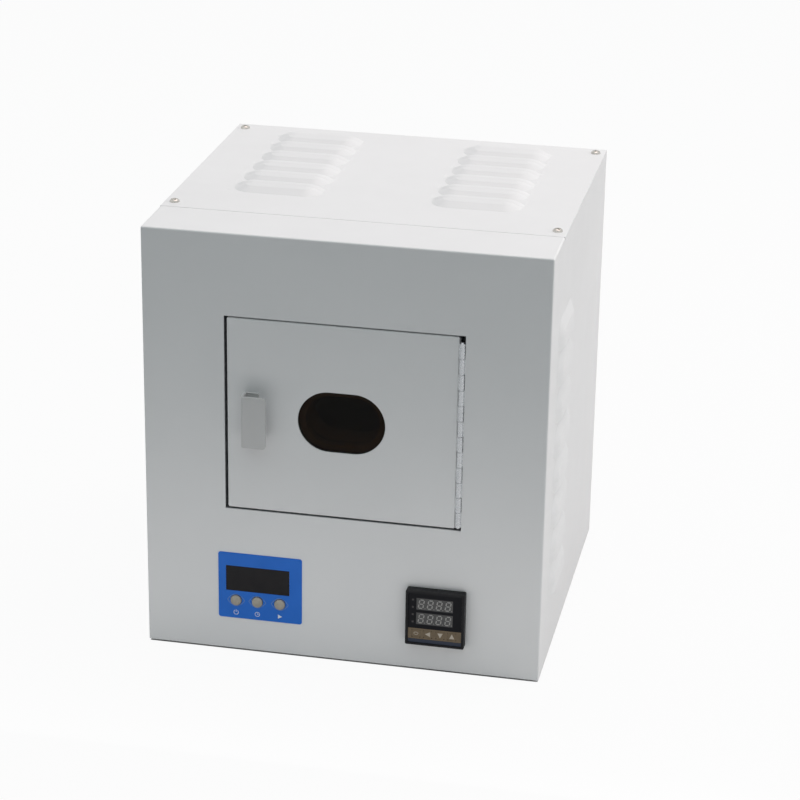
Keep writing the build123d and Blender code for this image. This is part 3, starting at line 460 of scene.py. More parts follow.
PRINT_WHITE = Finish(
    "white print", "timer_film", linear(226, 230, 236), linear(218, 222, 228),
    (0.40, 0.50), Grain.SPECKLE, 0.2 * MM, 0.003 * MM,
)
PRINT_PALE_BLUE = Finish(
    "pale blue print", "timer_film", linear(104, 140, 196), linear(96, 132, 188),
    (0.36, 0.46), Grain.SPECKLE, 0.2 * MM, 0.004 * MM,
)
# Painted shadow: the dark crescent that each timer cap casts at its upper right.
PAINTED_SHADOW_BLUE = Finish(
    "painted button shadow", "timer_film", linear(18, 54, 120), linear(16, 50, 112),
    (0.36, 0.46), Grain.SPECKLE, 0.2 * MM, 0.004 * MM,
)
PRINT_GREY = Finish(
    "unlit digit", "controller_window", linear(150, 149, 146), linear(142, 141, 138),
    (0.36, 0.48), Grain.SPECKLE, 0.2 * MM, 0.003 * MM,
)
PRINT_TAN = Finish(
    "tan key print", "key_film", linear(190, 180, 166), linear(180, 170, 156),
    (0.40, 0.50), Grain.SPECKLE, 0.2 * MM, 0.003 * MM,
)
PRINT_NAVY = Finish(
    "navy strip print", "controller_face", linear(40, 48, 66), linear(36, 43, 60),
    (0.34, 0.44), Grain.SPECKLE, 0.25 * MM, 0.006 * MM,
)
PRINT_INDICATOR = Finish(
    "unlit indicator", "controller_face", linear(64, 60, 60), linear(58, 54, 54),
    (0.30, 0.40), Grain.SPECKLE, 0.2 * MM, 0.003 * MM,
)


@dataclass
class Palette:
    """Makes each finish's material once."""

    made: dict[str, bpy.types.Material] = field(default_factory=dict)

    def get(self, finish: Finish | Glass) -> bpy.types.Material:
        """The material of a finish.

        Args:
            finish: The finish.

        Returns:
            Its material.
        """
        if finish.name not in self.made:
            self.made[finish.name] = finish.material()
        return self.made[finish.name]


# Surfaces


@dataclass
class Sheet:
    """A surface as a grid of points, rows by columns by X, Y, Z."""

    points: np.ndarray
    columns_close: bool = False
    kept: np.ndarray | None = None

    def quads(self, first: int) -> np.ndarray:
        """Corner numbers of the grid's faces.

        Args:
            first: Number of the grid's first point.

        Returns:
            One row of four corner numbers for each face.
        """
        rows, columns = self.points.shape[:2]
        numbers = np.arange(rows * columns).reshape(rows, columns) + first
        if self.columns_close:
            numbers = np.hstack([numbers, numbers[:, :1]])
        corners = [numbers[:-1, :-1], numbers[1:, :-1], numbers[1:, 1:], numbers[:-1, 1:]]
        faces = np.stack([corner.ravel() for corner in corners], axis=1)
        return faces if self.kept is None else faces[self.kept.ravel()]


def revolved(profile: np.ndarray, centre: Vector, sides: int) -> Sheet:
    """Turn a profile about an axis through a centre that runs along Y.

    Each profile point (radius, depth) becomes a ring: X and Z are the centre's plus the radius
    times the cosine and sine of the turn, and Y is the depth itself.

    Args:
        profile: Rows of radius and depth.
        centre: A point on the axis.
        sides: Points on each ring.

    Returns:
        The surface of revolution.
    """
    turn = np.linspace(0, 2 * np.pi, sides, endpoint=False)[None, :]
    radius = profile[:, 0, None]
    depth = np.broadcast_to(profile[:, 1, None], (len(profile), sides))
    points = np.stack(
        [centre.x + radius * np.cos(turn), depth, centre.z + radius * np.sin(turn)], axis=-1
    )
    return Sheet(points, columns_close=True)


def stroke(path: np.ndarray, widths: np.ndarray, front: float, back: float) -> Sheet:
    """A flat printed line of changing width in a plane that faces the front.

    At each path point the line's two sides lie half a width to the left and right of the path's
    direction, and both are given a front and a back depth, so the line is a closed prism.

    Args:
        path: Rows of X and Z.
        widths: Width at each row.
        front: Y of the print's face.
        back: Y of its back.

    Returns:
        The prism, whose first and last rings close to a line where the width is nothing.
    """
    ahead = np.gradient(path, axis=0)
    ahead /= np.linalg.norm(ahead, axis=1, keepdims=True)
    side = np.stack([-ahead[:, 1], ahead[:, 0]], axis=1) * widths[:, None] / 2
    left, right = path + side, path - side
    rings = []
    for edge, depth in ((left, front), (right, front), (right, back), (left, back)):
        rings.append(np.stack([edge[:, 0], np.full(len(path), depth), edge[:, 1]], axis=-1))
    return Sheet(np.stack(rings, axis=1), columns_close=True)


def arc(centre: tuple[float, float], radius: float, start: float, end: float) -> np.ndarray:
    """Points on a circle's arc.

    Args:
        centre: X and Z of the centre.
        radius: Radius.
        start: First angle in degrees.
        end: Last angle in degrees.

    Returns:
        Rows of X and Z.
    """
    steps = max(ARC_LEAST, int(abs(end - start) / ARC_STEP))
    angle = np.radians(np.linspace(start, end, steps))
    return np.stack(
        [centre[0] + radius * np.cos(angle), centre[1] + radius * np.sin(angle)], axis=1
    )


def even(path: np.ndarray, width: float) -> np.ndarray:
    """The same width at every point of a path."""
    return np.full(len(path), width)


@dataclass
class Workshop:
    """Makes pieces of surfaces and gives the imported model's nodes their finish."""

    nodes: dict[str, bpy.types.Object]
    palette: Palette = field(default_factory=Palette)
    weld_gap: float = 0.002 * MM
    seam_gap: float = 0.0005 * MM
    rounding_steps: int = 2
    rounding_angle: float = 40.0

    def dress(self, finish: Finish | Glass, *names: str, edge: float = 0.0) -> None:
        """Give CAD nodes a finish and, if wanted, slightly rounded edges.

        Args:
            finish: The finish.
            *names: Names of nodes.
            edge: Width of the rounding in metres, or 0 for none.
        """
        for name in names:
            node = self.nodes[name]
            for slot in node.material_slots:
                slot.material = self.palette.get(finish)
            if edge:
                weld = node.modifiers.new("Weld", "WELD")
                weld.merge_threshold = self.weld_gap
                bevel = node.modifiers.new("Bevel", "BEVEL")
                bevel.width = edge
                bevel.segments = self.rounding_steps
                bevel.limit_method = "ANGLE"
                bevel.angle_limit = np.radians(self.rounding_angle)
                bevel.harden_normals = True
            LOG.info("dressed %s in %s", name, finish.name)

    def piece(
        self,
        name: str,
        sheets: list[Sheet],
        finish: Finish | Glass,
        body: Body,
        replaces: tuple[str, ...] = (),
        crease: float = 35.0,
        wall: float = 0.0,
    ) -> bpy.types.Object:
        """Put surfaces into one mesh, close its seams and let it ride on a body.

        Args:
            name: Name of the piece.
            sheets: Its surfaces.
            finish: Its finish.
            body: The body that it moves with.
            replaces: CAD nodes that it stands for.
            crease: Angle in degrees above which an edge stays sharp.
            wall: Thickness given to an open sheet, or 0 for a closed piece.

        Returns:
            The new object.
        """
        counts = [sheet.points.shape[0] * sheet.points.shape[1] for sheet in sheets]
        starts = np.concatenate([[0], np.cumsum(counts)[:-1]])
        points = np.concatenate([sheet.points.reshape(-1, 3) for sheet in sheets])
        quads = np.concatenate([s.quads(int(start)) for s, start in zip(sheets, starts)])
        mesh = bpy.data.meshes.new(name)
        mesh.from_pydata(points.tolist(), [], quads.tolist())
        work = bmesh.new()
        work.from_mesh(mesh)
        bmesh.ops.remove_doubles(work, verts=work.verts, dist=self.seam_gap)
        if not wall:
            bmesh.ops.holes_fill(work, edges=work.edges, sides=0)
            bmesh.ops.recalc_face_normals(work, faces=work.faces)
        work.to_mesh(mesh)
        work.free()
        mesh.polygons.foreach_set("use_smooth", np.ones(len(mesh.polygons), dtype=bool))
        mesh.set_sharp_from_angle(angle=np.radians(crease))
        self.sharpen_rims(mesh)
        thing = bpy.data.objects.new(name, mesh)
        bpy.context.scene.collection.objects.link(thing)
        mesh.materials.append(self.palette.get(finish))
        if wall:
            thick = thing.modifiers.new("Wall", "SOLIDIFY")
            thick.thickness = wall
            thick.offset = -1
        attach(thing, body.value)
        if replaces:
            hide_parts(*replaces)
        LOG.info("built %s: %d points in %s", name, len(mesh.vertices), finish.name)
        return thing

    def sharpen_rims(self, mesh: bpy.types.Mesh) -> None:
        """Mark as sharp each edge that only one face uses, so a flat sheet stays flat there.

        Args:
            mesh: The mesh, before any wall is given to it.
        """
        corners = np.empty(len(mesh.loops), dtype=np.int32)
        mesh.loops.foreach_get("edge_index", corners)
        sharp = np.empty(len(mesh.edges), dtype=bool)
        mesh.edges.foreach_get("use_edge_sharp", sharp)
        uses = np.bincount(corners, minlength=len(mesh.edges))
        mesh.edges.foreach_set("use_edge_sharp", sharp | (uses == 1))


def middle(name: str) -> Vector:
    """The centre of a CAD node's box."""
    low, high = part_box(name)
    return (low + high) / 2


# Sub-assemblies


@dataclass
class PanScrews:
    """Cross-recess pan-head screws: a low dome with a cross-shaped socket."""

    head_radius: float = 4.1 * MM
    head_height: float = 2.4 * MM
    arm: float = 2.5 * MM
    slot: float = 0.62 * MM
    socket: float = 1.5 * MM
    shank_radius: float = 2.0 * MM
    length: float = 8.0 * MM
    rim_power: int = 6
    droop: float = 0.28
    fade: float = 0.22 * MM
    first_turn: float = 0.4
    next_turn: float = 0.9
    sides: int = 72
    rings: int = 26

    def head(self, tilt: float) -> tuple[np.ndarray, np.ndarray, np.ndarray]:
        """One screw about its own axis, head up.

        The dome's height falls with the square of the share of the radius, and its rim is round,
        by the root of one less a high power of that share.
        The socket is lowered where a point is near either arm of the cross, fading over a small
        width, so its walls slope as a pressed recess does.

        Args:
            tilt: Turn of the cross in radians.

        Returns:
            X, Y and height of a grid of rings by sides.
        """
        share = np.linspace(0, 1, self.rings)[:, None]
        turn = np.linspace(0, 2 * np.pi, self.sides, endpoint=False)[None, :]
        radius = self.head_radius * share
        rim = np.sqrt(np.clip(1 - share**self.rim_power, 0, 1))
        dome = self.head_height * rim * (1 - self.droop * share**2) + 0 * turn
        across, along = radius * np.cos(turn - tilt), radius * np.sin(turn - tilt)
        arms = []
        for first, second in ((across, along), (along, across)):
            inside = np.clip((self.slot - np.abs(first)) / self.fade + 0.5, 0, 1)
            reach = np.clip((self.arm - np.abs(second)) / (2 * self.fade) + 0.5, 0, 1)
            arms.append(inside * reach)
        dome = dome - self.socket * np.maximum(*arms)
        tail_radius = np.array([self.shank_radius, self.shank_radius, 0.0])[:, None]
        tail_height = np.array([0.0, -self.length, -self.length])[:, None]
        radius = np.vstack([radius + 0 * turn, tail_radius + 0 * turn])
        height = np.vstack([dome, tail_height + 0 * turn])
        return radius * np.cos(turn), radius * np.sin(turn), height

    def drive(
        self,
        shop: Workshop,
        node: str,
        places: list[Vector],
        right: Vector,
        up: Vector,
        out: Vector,
    ) -> None:
        """Build the screws of one node, each with its cross turned differently.

        Args:
            shop: Makes the piece.
            node: The CAD node that they stand for.
            places: Where each head meets the sheet.
            right: Direction across the head.
            up: Direction up the head.
            out: Direction that the heads face.
        """
        sheets = []
        for index, place in enumerate(places):
            tilt = self.first_turn + self.next_turn * index
            across, along, height = self.head(tilt)
            points = (
                np.array(place)
                + across[..., None] * np.array(right)
                + along[..., None] * np.array(up)
                + height[..., None] * np.array(out)
            )
            sheets.append(Sheet(points, columns_close=True))
        shop.piece(f"{node}_crossed", sheets, SCREW_NICKEL, Body.CASING, (node,))


@dataclass
class LouvreBank:
    """One upright row of pressed louvres: arched backs that rise from the sheet with soft feet.

    The bank has its own directions: along the hoods, across them towards their open edges, and
    out of the sheet.
    """

    origin: Vector
    along: Vector
    across: Vector
    out: Vector
    count: int
    pitch: float
    length: float = 74.0 * MM
    width: float = 15.0 * MM
    rise: float = 4.2 * MM
    foot: float = 1.6 * MM
    softness: float = 0.2
    fullness: float = 2.0
    lift: float = 0.02 * MM
    lip: float = 0.02 * MM
    slit: float = 1.3 * MM
    end_columns: int = 20
    middle_columns: int = 4
    hood_rows: int = 15

    def height(self, along: np.ndarray, across: np.ndarray) -> np.ndarray:
        """Height of one hood whose open edge lies at nought across.

        The share inward is one less the distance from the straight part of the open edge over
        the hood's width with its foot. A parabola eases the share in at the foot, and the height
        is the rise times one less a power of what the eased share lacks.

        Args:
            along: Distance along the hood from its middle.
            across: Distance from the open edge, negative under the hood.

        Returns:
            The height, nought outside the hood.
        """
        reach = self.width + self.foot
        straight = self.length / 2 - self.width
        aside = np.maximum(np.abs(along) - straight, 0)
        inward = np.clip(1 - np.hypot(aside, across) / reach, 0, 1)
        eased = np.where(
            inward < self.softness, inward**2 / (2 * self.softness), inward - self.softness / 2
        )
        eased /= 1 - self.softness / 2
        return np.where(across <= 0, self.rise * (1 - (1 - eased) ** self.fullness), 0)

    def sheet(self) -> Sheet:
        """The whole bank as one grid, finer at the hoods' ends and open at their slits.

        Returns:
            The grid, without the faces that would close a slit.
        """
        reach = self.width + self.foot
        end = self.length / 2 + 2 * self.foot
        straight = self.length / 2 - self.width
        sides = np.linspace(straight - self.foot, end, self.end_columns)
        inner = np.linspace(-straight, straight, self.middle_columns + 2)[1:-1]
        along = np.concatenate([-sides[::-1], inner, sides])
        hood = np.concatenate([np.linspace(-reach, 0, self.hood_rows), [self.lip]])
        places = (np.arange(self.count) - (self.count - 1) / 2) * self.pitch + self.width / 2
        across = (places[:, None] + hood[None, :]).ravel()
        heights = np.vstack([self.height(along[None, :], hood[:, None])] * self.count)
        edges = np.array([across[0] - self.foot, across[-1] + self.foot])
        across = np.concatenate([edges[:1], across, edges[1:]])
        flat = np.zeros((1, len(along)))
        heights = np.vstack([flat, heights, flat])
        rises = np.clip(heights + self.lift, 0, self.rise)
        points = (
            np.array(self.origin)
            + along[None, :, None] * np.array(self.along)
            + across[:, None, None] * np.array(self.across)
            + rises[:, :, None] * np.array(self.out)
        )
        step = np.abs(np.diff(heights, axis=0))
        open_row = (np.diff(across) < 2 * self.lip)[:, None]
        opened = open_row & (np.minimum(step[:, :-1], step[:, 1:]) > self.slit)
        return Sheet(points, kept=~opened)


@dataclass
class Casing:
    """The folded shell, the louvred cover, the screws, the back and the floor."""

    screws: PanScrews = field(default_factory=PanScrews)
    pad_edge: float = 0.3 * MM
    louvre_rise: float = 4.2 * MM
    skin: float = 0.3 * MM
    cover_spread: float = 163.0 * MM
    cover_pitch: float = 29.1 * MM
    cover_rows: int = 6
    cover_middle: float = 47.5 * MM
    side_pitch: float = 30.3 * MM
    side_rows: int = 8
    side_behind: float = -72.0 * MM
    side_middle: float = 172.7 * MM

    def dress(self, shop: Workshop) -> None:
        """Give the casing's own nodes their finishes."""
        shop.dress(POWDER_COAT, "front_shell", "top_cover", "rear_panel", "base_plate")
        shop.dress(FOOT_RUBBER, "foot_pads", edge=self.pad_edge)

    def build(self, shop: Workshop) -> None:
        """Press the louvres and drive the detailed screws that stand for the plain ones.

        Args:
            shop: Makes the pieces.
        """
        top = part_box("top_cover")[1].z - self.louvre_rise
        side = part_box("front_shell")[1].x - self.louvre_rise
        x, y, z = Vector((1, 0, 0)), Vector((0, 1, 0)), Vector((0, 0, 1))
        for name, sign in (("left", -1), ("right", 1)):
            at = Vector((sign * self.cover_spread / 2, self.cover_middle, top))
            bank = LouvreBank(at, -x, y, z, self.cover_rows, self.cover_pitch)
            self.press(shop, f"cover_louvres_{name}", bank)
            at = Vector((sign * side, self.side_behind, self.side_middle))
            bank = LouvreBank(at, sign * y, -z, sign * x, self.side_rows, self.side_pitch)
            self.press(shop, f"side_louvres_{name}", bank)
        low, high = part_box("cover_screws")
        inset = self.screws.head_radius
        places = [
            Vector((px, py, high.z - self.screws.head_height))
            for px in (low.x + inset, high.x - inset)
            for py in (low.y + inset, high.y - inset)
        ]
        self.screws.drive(shop, "cover_screws", places, x, y, z)
        low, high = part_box("rear_screws")
        places = [
            Vector((px, high.y - self.screws.head_height, pz))
            for px in (low.x + inset, high.x - inset)
            for pz in (low.z + inset, (low.z + high.z) / 2, high.z - inset)
        ]
        self.screws.drive(shop, "rear_screws", places, -x, z, y)

    def press(self, shop: Workshop, name: str, bank: LouvreBank) -> None:
        """Make a bank of louvres with its thin wall."""
        shop.piece(name, [bank.sheet()], POWDER_COAT, Body.CASING, wall=self.skin)


@dataclass
class Door:
    """The door pan, its window, lining, pull and piano hinge."""

    edge: float = 0.3 * MM
    pull_edge: float = 0.25 * MM
    seal_edge: float = 0.5 * MM

    def dress(self, shop: Workshop) -> None:
        """Give the door's own nodes their finishes.

        Args:
            shop: Dresses the nodes.
        """
        shop.dress(DOOR_COAT, "door_panel", edge=self.edge)
        shop.dress(PULL_COAT, "door_pull", edge=self.pull_edge)
        shop.dress(WINDOW_GLASS, "window_glass")
        shop.dress(INNER_STEEL, "door_frame", "window_frame", "door_liner")
        shop.dress(FIBRE_BOARD, "door_core", "door_plug")
        shop.dress(FIBRE_SEAL, "door_seal", edge=self.seal_edge)
        shop.dress(MAGNET_STEEL, "magnet_catch", edge=self.edge)
        shop.dress(SCREW_NICKEL, "pull_screws")
        shop.dress(HINGE_ZINC, "hinge_frame_leaf", "hinge_door_leaf", "hinge_pin")


@dataclass
class Chamber:
    """The fibre muffle with its heating coils, hearth, lining, casing and thermocouple."""

    hearth_edge: float = 0.3 * MM
    coil_radius: float = 3.0 * MM
    wire_radius: float = 0.55 * MM
    coil_pitch: float = 2.6 * MM
    coils_each_side: int = 4
    steps_per_turn: int = 14
    wire_sides: int = 8
    crease: float = 80.0

    def dress(self, shop: Workshop) -> None:
        """Give the chamber's nodes their finishes.

        Args:
            shop: Dresses the nodes.
        """
        shop.dress(FIBRE_BOARD, "muffle", "insulation_front", "insulation_rear")
        shop.dress(FIBRE_BOARD, "insulation_slabs", "insulation_sides")
        shop.dress(HEARTH_CERAMIC, "hearth_plate", edge=self.hearth_edge)
        shop.dress(COIL_WIRE, "coil_tails")
        shop.dress(PROBE_CERAMIC, "thermocouple", "thermocouple_head")
        shop.dress(INNER_STEEL, "inner_casing", "front_support", "rear_support")

    def build(self, shop: Workshop) -> None:
        """Wind the heating coils that stand for the plain rods.

        A coil's middle line is a helix: X and Z go round a circle while Y advances by one pitch
        a turn. The wire is a circle carried along it, laid out by the helix's own radial
        direction and the cross product of that with the tangent.

        Args:
            shop: Makes the pieces.
        """
        low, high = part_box("heating_coils")
        radius = self.coil_radius
        turn_radius = radius - self.wire_radius
        turns = (high.y - low.y - 2 * self.wire_radius) / self.coil_pitch
        steps = int(turns * self.steps_per_turn)
        angle = np.linspace(0, 2 * np.pi * turns, steps)
        advance = low.y + self.wire_radius + angle / (2 * np.pi) * self.coil_pitch
        radial = np.stack([np.cos(angle), 0 * angle, np.sin(angle)], axis=1)
        tangent = np.stack(
            [
                -turn_radius * np.sin(angle),
                np.full(steps, self.coil_pitch / (2 * np.pi)),
                turn_radius * np.cos(angle),
            ],
            axis=1,
        )
        tangent /= np.linalg.norm(tangent, axis=1, keepdims=True)
        binormal = np.cross(tangent, radial)
        around = np.linspace(0, 2 * np.pi, self.wire_sides, endpoint=False)
        ring = (
            np.cos(around)[None, :, None] * radial[:, None, :]
            + np.sin(around)[None, :, None] * binormal[:, None, :]
        ) * self.wire_radius
        rises = np.linspace(low.z + radius, high.z - radius, self.coils_each_side)
        sheets = []
        for x in (low.x + radius, high.x - radius):
            for z in rises:
                line = turn_radius * radial + np.array([x, 0, z])
                line[:, 1] = advance
                sheets.append(Sheet(line[:, None, :] + ring, columns_close=True))
        shop.piece("wound_coils", sheets, COIL_WIRE, Body.CASING, ("heating_coils",), self.crease)


@dataclass
class Timer:
    """The blue film with its display window, three domed buttons and printed symbols."""

    film_edge: float = 0.12 * MM
    cap_radius: float = 4.4 * MM
    cap_dome: float = 1.1 * MM
    dome_power: float = 2.6
    dome_rings: int = 12
    cap_sides: int = 64
    flange_radius: float = 6.0 * MM
    flange_depth: tuple[float, float] = (4.0 * MM, 5.0 * MM)
    stem_radius: float = 1.8 * MM
    lens_length: float = 14.4 * MM
    lens_height: float = 10.5 * MM
    lens_points: int = 33
    shade_gap: float = 0.45 * MM
    shade_wide: float = 0.75 * MM
    shade_turn: tuple[float, float] = (15, 95)
    shade_end: float = 0.02
    shade_thickness: float = 0.045 * MM
    symbol_drop: float = 11.0 * MM
    symbol_radius: float = 1.9 * MM
    ring_turn: tuple[float, float] = (125, 415)
    bar_foot: float = 0.2 * MM
    bar_reach: float = 1.3
    hour_reach: float = 0.65
    minute_reach: float = 0.55
    hand_share: float = 0.8
    tail: float = 0.8
    line: float = 0.42 * MM
    outline: float = 0.45 * MM
    print_thickness: float = 0.03 * MM
    buttons: tuple[Body, ...] = (Body.BUTTON_POWER, Body.BUTTON_TIME, Body.BUTTON_START)

    def dress(self, shop: Workshop) -> None:
        """Give the timer's own nodes their finishes.

        Args:
            shop: Dresses the nodes.
        """
        shop.dress(TIMER_FILM, "timer_overlay", edge=self.film_edge)
        shop.dress(TIMER_WINDOW, "timer_window")
        shop.dress(COMPONENT_BLACK, "timer_display", "timer_switches")
        shop.dress(CIRCUIT_BOARD, "timer_board")
        shop.dress(HINGE_ZINC, "timer_standoffs")

    def build(self, shop: Workshop) -> None:
        """Build the domed caps, the prints round and below them and a painted shadow by each.

        Args:
            shop: Makes the pieces.
        """
        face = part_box("timer_overlay")[0].y
        for body in self.buttons:
            self.cap(shop, body)
        centres = [middle(body.value) for body in self.buttons]
        outlines = [line for centre in centres for line in self.lens(centre, face)]
        shop.piece("timer_lens_prints", outlines, PRINT_PALE_BLUE, Body.CASING)
        # Painted shadow of each cap, laid on the film like a print.
        painted_shadows = [self.shade(centre, face) for centre in centres]
        shop.piece("timer_painted_shadows", painted_shadows, PAINTED_SHADOW_BLUE, Body.CASING)
        symbols = [*self.power(centres[0], face), *self.clock(centres[1], face)]
        symbols.append(self.play(centres[2], face))
        shop.piece("timer_symbols", symbols, PRINT_WHITE, Body.CASING)

    def cap(self, shop: Workshop, body: Body) -> None:
        """Build one button: a domed cap, a flange behind the sheet and a stem.

        The dome's depth grows with a power of the share of the radius, so its middle is flat.

        Args:
            shop: Makes the piece.
            body: The button's body, which has its node's name.
        """
        low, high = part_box(body.value)
        share = np.linspace(0, 1, self.dome_rings)
        depth = low.y + self.cap_dome * share**self.dome_power
        dome = np.stack([self.cap_radius * share, depth], axis=1)
        flange_front = low.y + self.flange_depth[0]
        flange_back = low.y + self.flange_depth[1]
        rest = np.array([
            [self.cap_radius, flange_front],
            [self.flange_radius, flange_front],
            [self.flange_radius, flange_back],
            [self.stem_radius, flange_back],
            [self.stem_radius, high.y],
            [0.0, high.y],
        ])
        profile = np.vstack([dome, rest])
        turned = revolved(profile, middle(body.value), self.cap_sides)
        shop.piece(f"{body.value}_cap", [turned], BUTTON_GREY, body, (body.value,))

    def lens(self, centre: Vector, face: float) -> list[Sheet]:
        """An eye-shaped outline round a button: two curves whose height is a parabola of X.

        Args:
            centre: Middle of the button.
            face: Y of the film's face.

        Returns:
            The two printed lines.
        """
        across = np.linspace(-1, 1, self.lens_points)
        lines = []
        for side in (-1, 1):
            tall = side * self.lens_height / 2 * (1 - across**2)
            path = np.stack([across * self.lens_length / 2, tall], axis=1) + [centre.x, centre.z]
            front = face - self.print_thickness
            lines.append(stroke(path, even(path, self.outline), front, face))
        return lines

    def shade(self, centre: Vector, face: float) -> Sheet:
        """Painted cap shadow: a dark crescent at upper right, its width the sine of its length.

        Args:
            centre: Middle of the button.
            face: Y of the film's face.

        Returns:
            The print.
        """
        path = arc((centre.x, centre.z), self.cap_radius + self.shade_gap, *self.shade_turn)
        share = np.linspace(self.shade_end, np.pi - self.shade_end, len(path))
        wide = self.shade_wide * np.sin(share)
        return stroke(path, wide, face - self.shade_thickness, face)

    def power(self, centre: Vector, face: float) -> list[Sheet]:
        """A broken ring with a bar in its gap.

        Args:
            centre: Middle of the button above it.
            face: Y of the film's face.

        Returns:
            The two printed lines.
        """
        x, z = centre.x, centre.z - self.symbol_drop
        ring = arc((x, z), self.symbol_radius, *self.ring_turn)
        bar = np.array([[x, z + self.bar_foot], [x, z + self.bar_reach * self.symbol_radius]])
        lines = [ring, bar]
        return [stroke(p, even(p, self.line), face - self.print_thickness, face) for p in lines]

    def clock(self, centre: Vector, face: float) -> list[Sheet]:
        """A ring with two hands.

        Args:
            centre: Middle of the button above it.
            face: Y of the film's face.

        Returns:
            The three printed lines.
        """
        x, z = centre.x, centre.z - self.symbol_drop
        ring = arc((x, z), self.symbol_radius, 0, 360)
        hour = np.array([[x, z], [x, z + self.hour_reach * self.symbol_radius]])
        minute = np.array([[x, z], [x + self.minute_reach * self.symbol_radius, z]])
        hand = self.hand_share
        return [
            stroke(p, even(p, w * self.line), face - self.print_thickness, face)
            for p, w in ((ring, 1.0), (hour, hand), (minute, hand))
        ]

    def play(self, centre: Vector, face: float) -> Sheet:
        """A triangle that points right.

        Args:
            centre: Middle of the button above it.
            face: Y of the film's face.

        Returns:
            The print.
        """
        x, z = centre.x, centre.z - self.symbol_drop
        path = np.array([[x - self.tail * self.symbol_radius, z], [x + self.symbol_radius, z]])
        wide = np.array([2 * self.symbol_radius, 0.0])
        return stroke(path, wide, face - self.print_thickness, face)


